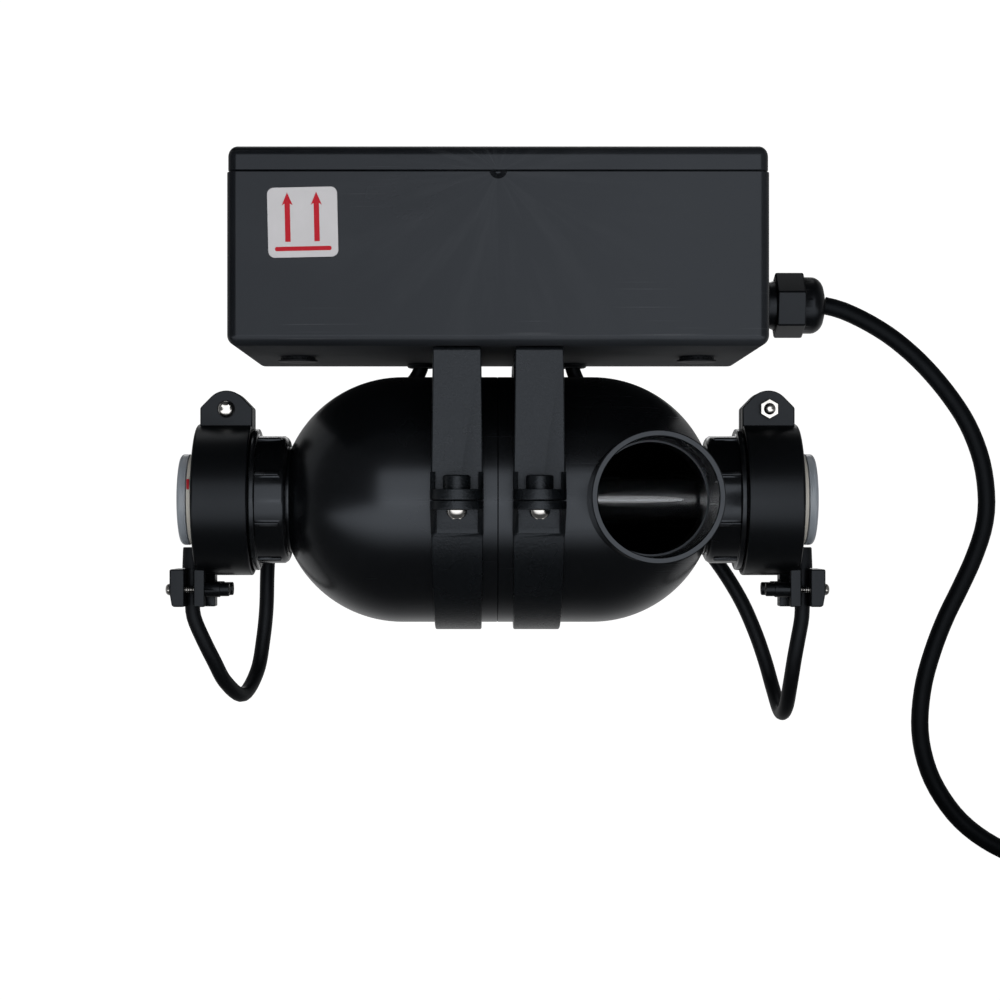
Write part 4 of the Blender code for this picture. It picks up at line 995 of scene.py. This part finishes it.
def make_band(centre_x):
    high = JOINT_Z - GAP / 2
    outline = arc((0, 0), BAND_R, 181.3, 358.7, 80) + arc((0, 0), STRAP_BORE_R, 358.6, 181.4, 80)
    body = prism(outline, "X", centre_x - STRAP_HALF_TOP, centre_x + STRAP_HALF_TOP)
    body = widened(carved(body, bevel=0.6), centre_x)
    tabs, webs, holes = [], [], []
    for side in (-1, 1):
        tabs.append(joint_tab(centre_x, side, high - 3.2, high))
        webs += gussets(centre_x, [(side * 49.6, high - 2.2), (side * 63.6, high - 2.2),
                                   (side * 62, high - 4.4), (side * 48.4, -14)])
        holes.append(rod("Z", high - 5, high + 1, 2.3, (centre_x, side * STRAP_SCREW_Y)))
    shallow = []
    for start, end in ((180, 195), (360, 345)):
        outline = arc((0, 0), BAND_R - 0.4, start, end, 6) + arc((0, 0), BAND_R + 3, end, start, 6)
        shallow.append(prism(outline, "X", centre_x - 7.7, centre_x + 7.7))
    return carved(body, [cut(*shallow), add(*tabs), add(*webs), cut(*holes)])


def make_straps():
    for end, side in ENDS:
        x = side * STRAP_X
        show(f"strap_bracket_{end}", make_bracket(x), "strap")
        show(f"strap_band_{end}", make_band(x), "strap")
        for place, y in (("front", -STRAP_SCREW_Y), ("rear", STRAP_SCREW_Y)):
            seat = JOINT_Z - GAP / 2 - 3.2 - GAP
            shape = screw_mesh("Z", seat, False, 2, 11, 3.9, 3.3, (x, y))
            show(f"strap_screw_{end}_{place}", shape, "steel")
        seat = BOX_FLOOR_Z + BOX_WALL + GAP
        shape = screw_mesh("Z", seat, True, BRACKET_SCREW_R, 8, 3.6, 2.2, (x, 0))
        show(f"bracket_screw_{end}", shape, "steel")


# Cords


def smooth_points(route, spacing):
    """Points a given distance apart on a Catmull-Rom curve through the route's points."""
    knots = [Vector(point) for point in route]
    knots = [2 * knots[0] - knots[1], *knots, 2 * knots[-1] - knots[-2]]
    fine = []
    for a, b, c, d in zip(knots, knots[1:], knots[2:], knots[3:]):
        for i in range(24):
            t = i / 24
            fine.append(0.5 * (2 * b + (c - a) * t + (2 * a - 5 * b + 4 * c - d) * t * t
                               + (3 * b - a - 3 * c + d) * t ** 3))
    fine.append(knots[-2])
    lengths = [0.0]
    for a, b in zip(fine, fine[1:]):
        lengths.append(lengths[-1] + (b - a).length)
    count = round(lengths[-1] / spacing)
    points, at = [], 0
    for i in range(count + 1):
        target = lengths[-1] * i / count
        while at < len(fine) - 2 and lengths[at + 1] < target:
            at += 1
        share = (target - lengths[at]) / max(lengths[at + 1] - lengths[at], 1e-9)
        points.append(fine[at].lerp(fine[at + 1], min(share, 1)))
    return points


def eased(t):
    t = min(max(t, 0), 1)
    return t * t * (3 - 2 * t)


def coil_points():
    """Three turns side by side in each of four layers, wound in, out, in and out again.

    In each layer the cord steps over to the next turn twice, and then it climbs to the next layer.
    """
    pitch, layer_angle, step_angle = 2 * CABLE_R, 960, 60
    points = []
    for angle in range(0, 3691, 15):
        radius, height = COIL_TURN_R, SURFACE_Z + CABLE_R
        for layer in range(COIL_LAYERS):
            way = 1 if layer % 2 else -1
            for start in (300, 660):
                radius += way * pitch * eased((angle - start - layer_angle * layer) / step_angle)
            if layer:
                height += pitch * eased((angle - layer_angle * layer) / step_angle)
        heading = math.radians(angle - 90)
        points.append((COIL_X + radius * math.cos(heading), COIL_Y + radius * math.sin(heading), height))
    return points


def tube(points, radius, sides=20):
    """A round tube along the points, with closed ends."""
    rings, side = [], Vector((0, 1, 0))
    for i, point in enumerate(points):
        ahead = points[min(i + 1, len(points) - 1)] - points[max(i - 1, 0)]
        ahead.normalize()
        side = (side - ahead * side.dot(ahead)).normalized()
        other = ahead.cross(side)
        turns = [math.tau * j / sides for j in range(sides)]
        rings.append([point + radius * (math.cos(a) * side + math.sin(a) * other) for a in turns])
    return carved(loft(rings))


def make_lamp_leads():
    """Each lead hangs in a loop from its grommet to its socket, and bends when the end cover is pulled."""
    for end, route in (("left", LEFT_LEAD_ROUTE), ("right", RIGHT_LEAD_ROUTE)):
        points = smooth_points(route, 2.5)
        lead = linked(f"lamp_lead_{end}_fine", tube(points, LEAD_R))
        lead.data.materials.append(LOOKS["lead"][0])
        start, finish = Vector(route[3]) * MM, Vector(route[-3]) * MM
        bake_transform(lead, "clarifier", f"cover_{end}", start=start, end=finish)
        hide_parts(f"lamp_lead_{end}")


def make_mains_lead():
    """The mains cable from the gland to its coil on the floor, and its plug beside the coil."""
    points = smooth_points([*CABLE_ROUTE, *coil_points(), *PLUG_ROUTE], 4)
    curve = bpy.data.curves.new("mains_cable_line", "CURVE")
    curve.dimensions = "3D"
    curve.bevel_depth = CABLE_R * MM
    curve.bevel_resolution = 6
    curve.use_fill_caps = True
    spline = curve.splines.new("POLY")
    spline.points.add(len(points) - 1)
    for knot, point in zip(spline.points, points):
        knot.co = (*(point * MM), 1)
    curve.materials.append(LOOKS["cable"][0])
    cable = linked("mains_cable_fine", curve)
    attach(cable, "clarifier")
    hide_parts("mains_cable", "mains_cable_coil")
    pieces = make_plug()


def make_plug():
    """A generic moulded three-pin plug on its back, with ribs on its sleeve and brass pins."""
    x, y0, y1, z = PLUG_X, PLUG_Y0, PLUG_Y1, SURFACE_Z
    outline = [(x - 17, y0), (x + 17, y0), (x + 25, y0 + 12), (x + 25, y1 - 6), (x + 23.2, y1 - 2),
               (x + 19, y1), (x - 19, y1), (x - 23.2, y1 - 2), (x - 25, y1 - 6), (x - 25, y0 + 12)]
    body = carved(prism(outline, "Z", z, z + 19), bevel=2.2)
    profile = [(y0 - 22, 0)]
    for i in range(13):
        reach = i / 12
        profile.append((y0 - 22 + 25 * reach, 4.6 + 2.4 * reach - (0.8 if i % 2 else 0)))
    profile.append((y0 + 3, 0))
    sleeve = turned(profile, "Y", (x, z + 10.5), 48)
    cover = carved(prism(rounded_rectangle(34, 26, 5, (x, y0 + 24)), "Z", z + 18.4, z + 19.4), bevel=0.3)
    shape = carved(body, [add(sleeve), add(cover)])
    plug = show("mains_plug", shape, "rubber")
    pins = [block((x + aside - 3.2, y0 + 14, z + 19), (x + aside + 3.2, y0 + 18, z + 36.5))
            for aside in (-11, 11)]
    pins.append(block((x - 2, y0 + 34, z + 19), (x + 2, y0 + 42, z + 41.5)))
    metal = carved(together(*pins), bevel=0.6)
    return [plug, ride_along("mains_plug_pins", metal, "brass", "clarifier")]


# Studio


def emitter(name, place, target, size, power):
    data = bpy.data.lights.new(name, "AREA")
    data.shape = "RECTANGLE"
    data.size, data.size_y = size
    data.energy = power
    obj = linked(name, data)
    obj.location = place
    obj.rotation_euler = (Vector(target) - Vector(place)).to_track_quat("-Z", "Y").to_euler()
    obj.visible_camera = False


def backdrop_paint():
    """Plain pale paint, flat white to the camera.

    Every other ray sees it dim, but for pools of light in front of, behind and beside the object.
    """
    made = Finish("backdrop_paint", (0.32, 0.32, 0.32), 0.9, specular=0.1)
    made.blotches(2, 3, 0.3, 0.7, 0.2, (0.35, 0.35, 0.35))
    place = made.node("ShaderNodeSeparateXYZ")
    made.link(made.place, place.inputs[0])
    aside = made.maths("ABSOLUTE", place.outputs["X"], 0)
    front = made.ranged(place.outputs["Y"], -0.32, -0.16, FRONT_POOL, 0.0)
    front = made.maths("MULTIPLY", front, made.ranged(aside, 0.6, 0.9, 1.0, 0.0))
    back = made.ranged(place.outputs["Y"], 0.0, 0.15, 0.0, BACK_POOL)
    sides = made.ranged(aside, 0.4, 0.8, 0.0, SIDE_POOL)
    low = made.ranged(place.outputs["Z"], -0.14, 0.3, 1.0, WALL_SHARE)
    around = made.maths("MULTIPLY", made.maths("MAXIMUM", back, sides), low)
    front = made.maths("MULTIPLY", front, made.ranged(place.outputs["Z"], -0.14, 0, 1, 0))
    pool = made.maths("MAXIMUM", around, front)
    blend = made.node("ShaderNodeMix", data_type="FLOAT")
    made.link(made.node("ShaderNodeLightPath").outputs["Is Camera Ray"], blend.inputs[0])
    made.link(pool, blend.inputs[2])
    blend.inputs[3].default_value = WHITE_TO_CAMERA
    made.set("Emission Color", (1, 1, 1, 1))
    made.link(blend.outputs[0], made.shader.inputs["Emission Strength"])
    return made.done()


def make_studio():
    """A pale floor that sweeps up into a wall all round, and large soft lights."""
    floor_z, radius = SURFACE_Z - 0.2, 2400
    sweep = [(floor_z + 500 - 500 * math.cos(a), radius + 500 * math.sin(a)) for a in NINE_STEPS]
    outline = [(floor_z, 0), *sweep, (2600, radius + 500), (2600, radius + 502), (floor_z - 2, radius + 502),
               (floor_z - 2, 0)]
    wall = turned(outline, "Z")
    wall.shade_smooth()
    wall.set_sharp_from_angle(angle=math.radians(32))
    wall.materials.append(backdrop_paint())
    linked("backdrop", wall)
    emitter("front_softbox", (0.07, -1.3, 0.265), (0.07, 0, 0.25), (1.2, 0.75), 4.3)
    emitter("overhead", (0, 0.9, 2.0), (0, 0.1, 0), (1.4, 0.8), 3)
    emitter("back_softbox", (0, 2.2, 1.1), (0, 0, 0.1), (1.2, 0.9), 5)
    world = bpy.data.worlds.new("studio")
    world.use_nodes = True
    sky = world.node_tree.nodes["Background"].inputs
    sky["Color"].default_value, sky["Strength"].default_value = (1, 1, 1, 1), 0.05
    bpy.context.scene.world = world
    bpy.context.scene.view_settings.view_transform = "Standard"


def make_camera():
    """A level camera in front of the object, with its axis left of and below the frame's middle."""
    data = bpy.data.cameras.new("camera")
    data.sensor_width = 36
    data.lens = 83.74
    data.shift_x, data.shift_y = 0.015, 0.025
    data.clip_start, data.clip_end = 0.01, 20
    obj = linked("camera", data)
    obj.location = (-0.0049, -0.923, -0.0101)
    obj.rotation_euler = (math.radians(90), 0, 0)
    bpy.context.scene.camera = obj


def main():
    make_camera()
    cover = chamber_plastic("cover_abs", 0.3, 0.24)
    ink = label_ink()
    LOOKS.update({
        "box": (box_plastic(), "box_black"),
        "strap": (strap_plastic(), "strap_black"),
        "chamber": (chamber_plastic("chamber_abs", 0.23, 0.48), "chamber_black"),
        "gloss": (gloss_plastic(), "gloss_black"),
        "cover": (cover, "chamber_black"),
        "gland": (cover, "gloss_black"),
        "rubber": (rubber("moulded_rubber", (0.006, 0.0065, 0.0075), 0.5, 0.2), "rubber_black"),
        "cable": (rubber("cable_sheath", (0.002, 0.0025, 0.0031), 0.4, 0.1), "rubber_black"),
        "lead": (rubber("lead_sheath", (0.003, 0.0033, 0.004), 0.38, 0.18), "rubber_black"),
        "steel": (bare_metal("stainless", (0.66, 0.65, 0.63), 0.12, (1, 1, 8)), "stainless_steel"),
        "brass": (bare_metal("pin_brass", (0.74, 0.56, 0.27), 0.26, (1, 1, 8)), "stainless_steel"),
        "ballast": (cast_metal(), "ballast_grey"),
        "terminal": (pale_plastic("terminal_nylon", (0.62, 0.61, 0.57)), "terminal_white"),
        "ceramic": (pale_plastic("lamp_ceramic", (0.72, 0.70, 0.64)), "ceramic_white"),
        "paper": (label_paper(), "label_paper"),
        "ink": (ink, "label_paper"),
        "mark": (ink, "ceramic_white"),
        "quartz": (glass("quartz_glass", (0.93, 0.95, 0.97), 0.0, 1.0, 1.46, 2e-6), "quartz"),
        "lamp": (glass("lamp_glass", (0.5, 0.52, 0.56), 0.03, 0.92, 1.5, 2e-6), "lamp_glass"),
        "lens": (glass("lens_milky", (0.46, 0.51, 0.57), 0.28, 0.3, 1.49, 6e-6), "lens_clear"),
    })
    for make in (make_mains_lead, make_lamp_leads, make_studio, make_box, make_box_contents, make_label,
                 make_floor_fittings, make_gland, make_chamber, make_lamp, make_sleeve_fittings,
                 make_end_covers, make_cover_fastening, make_lamp_ends, make_grips, make_straps):
        make()


main()
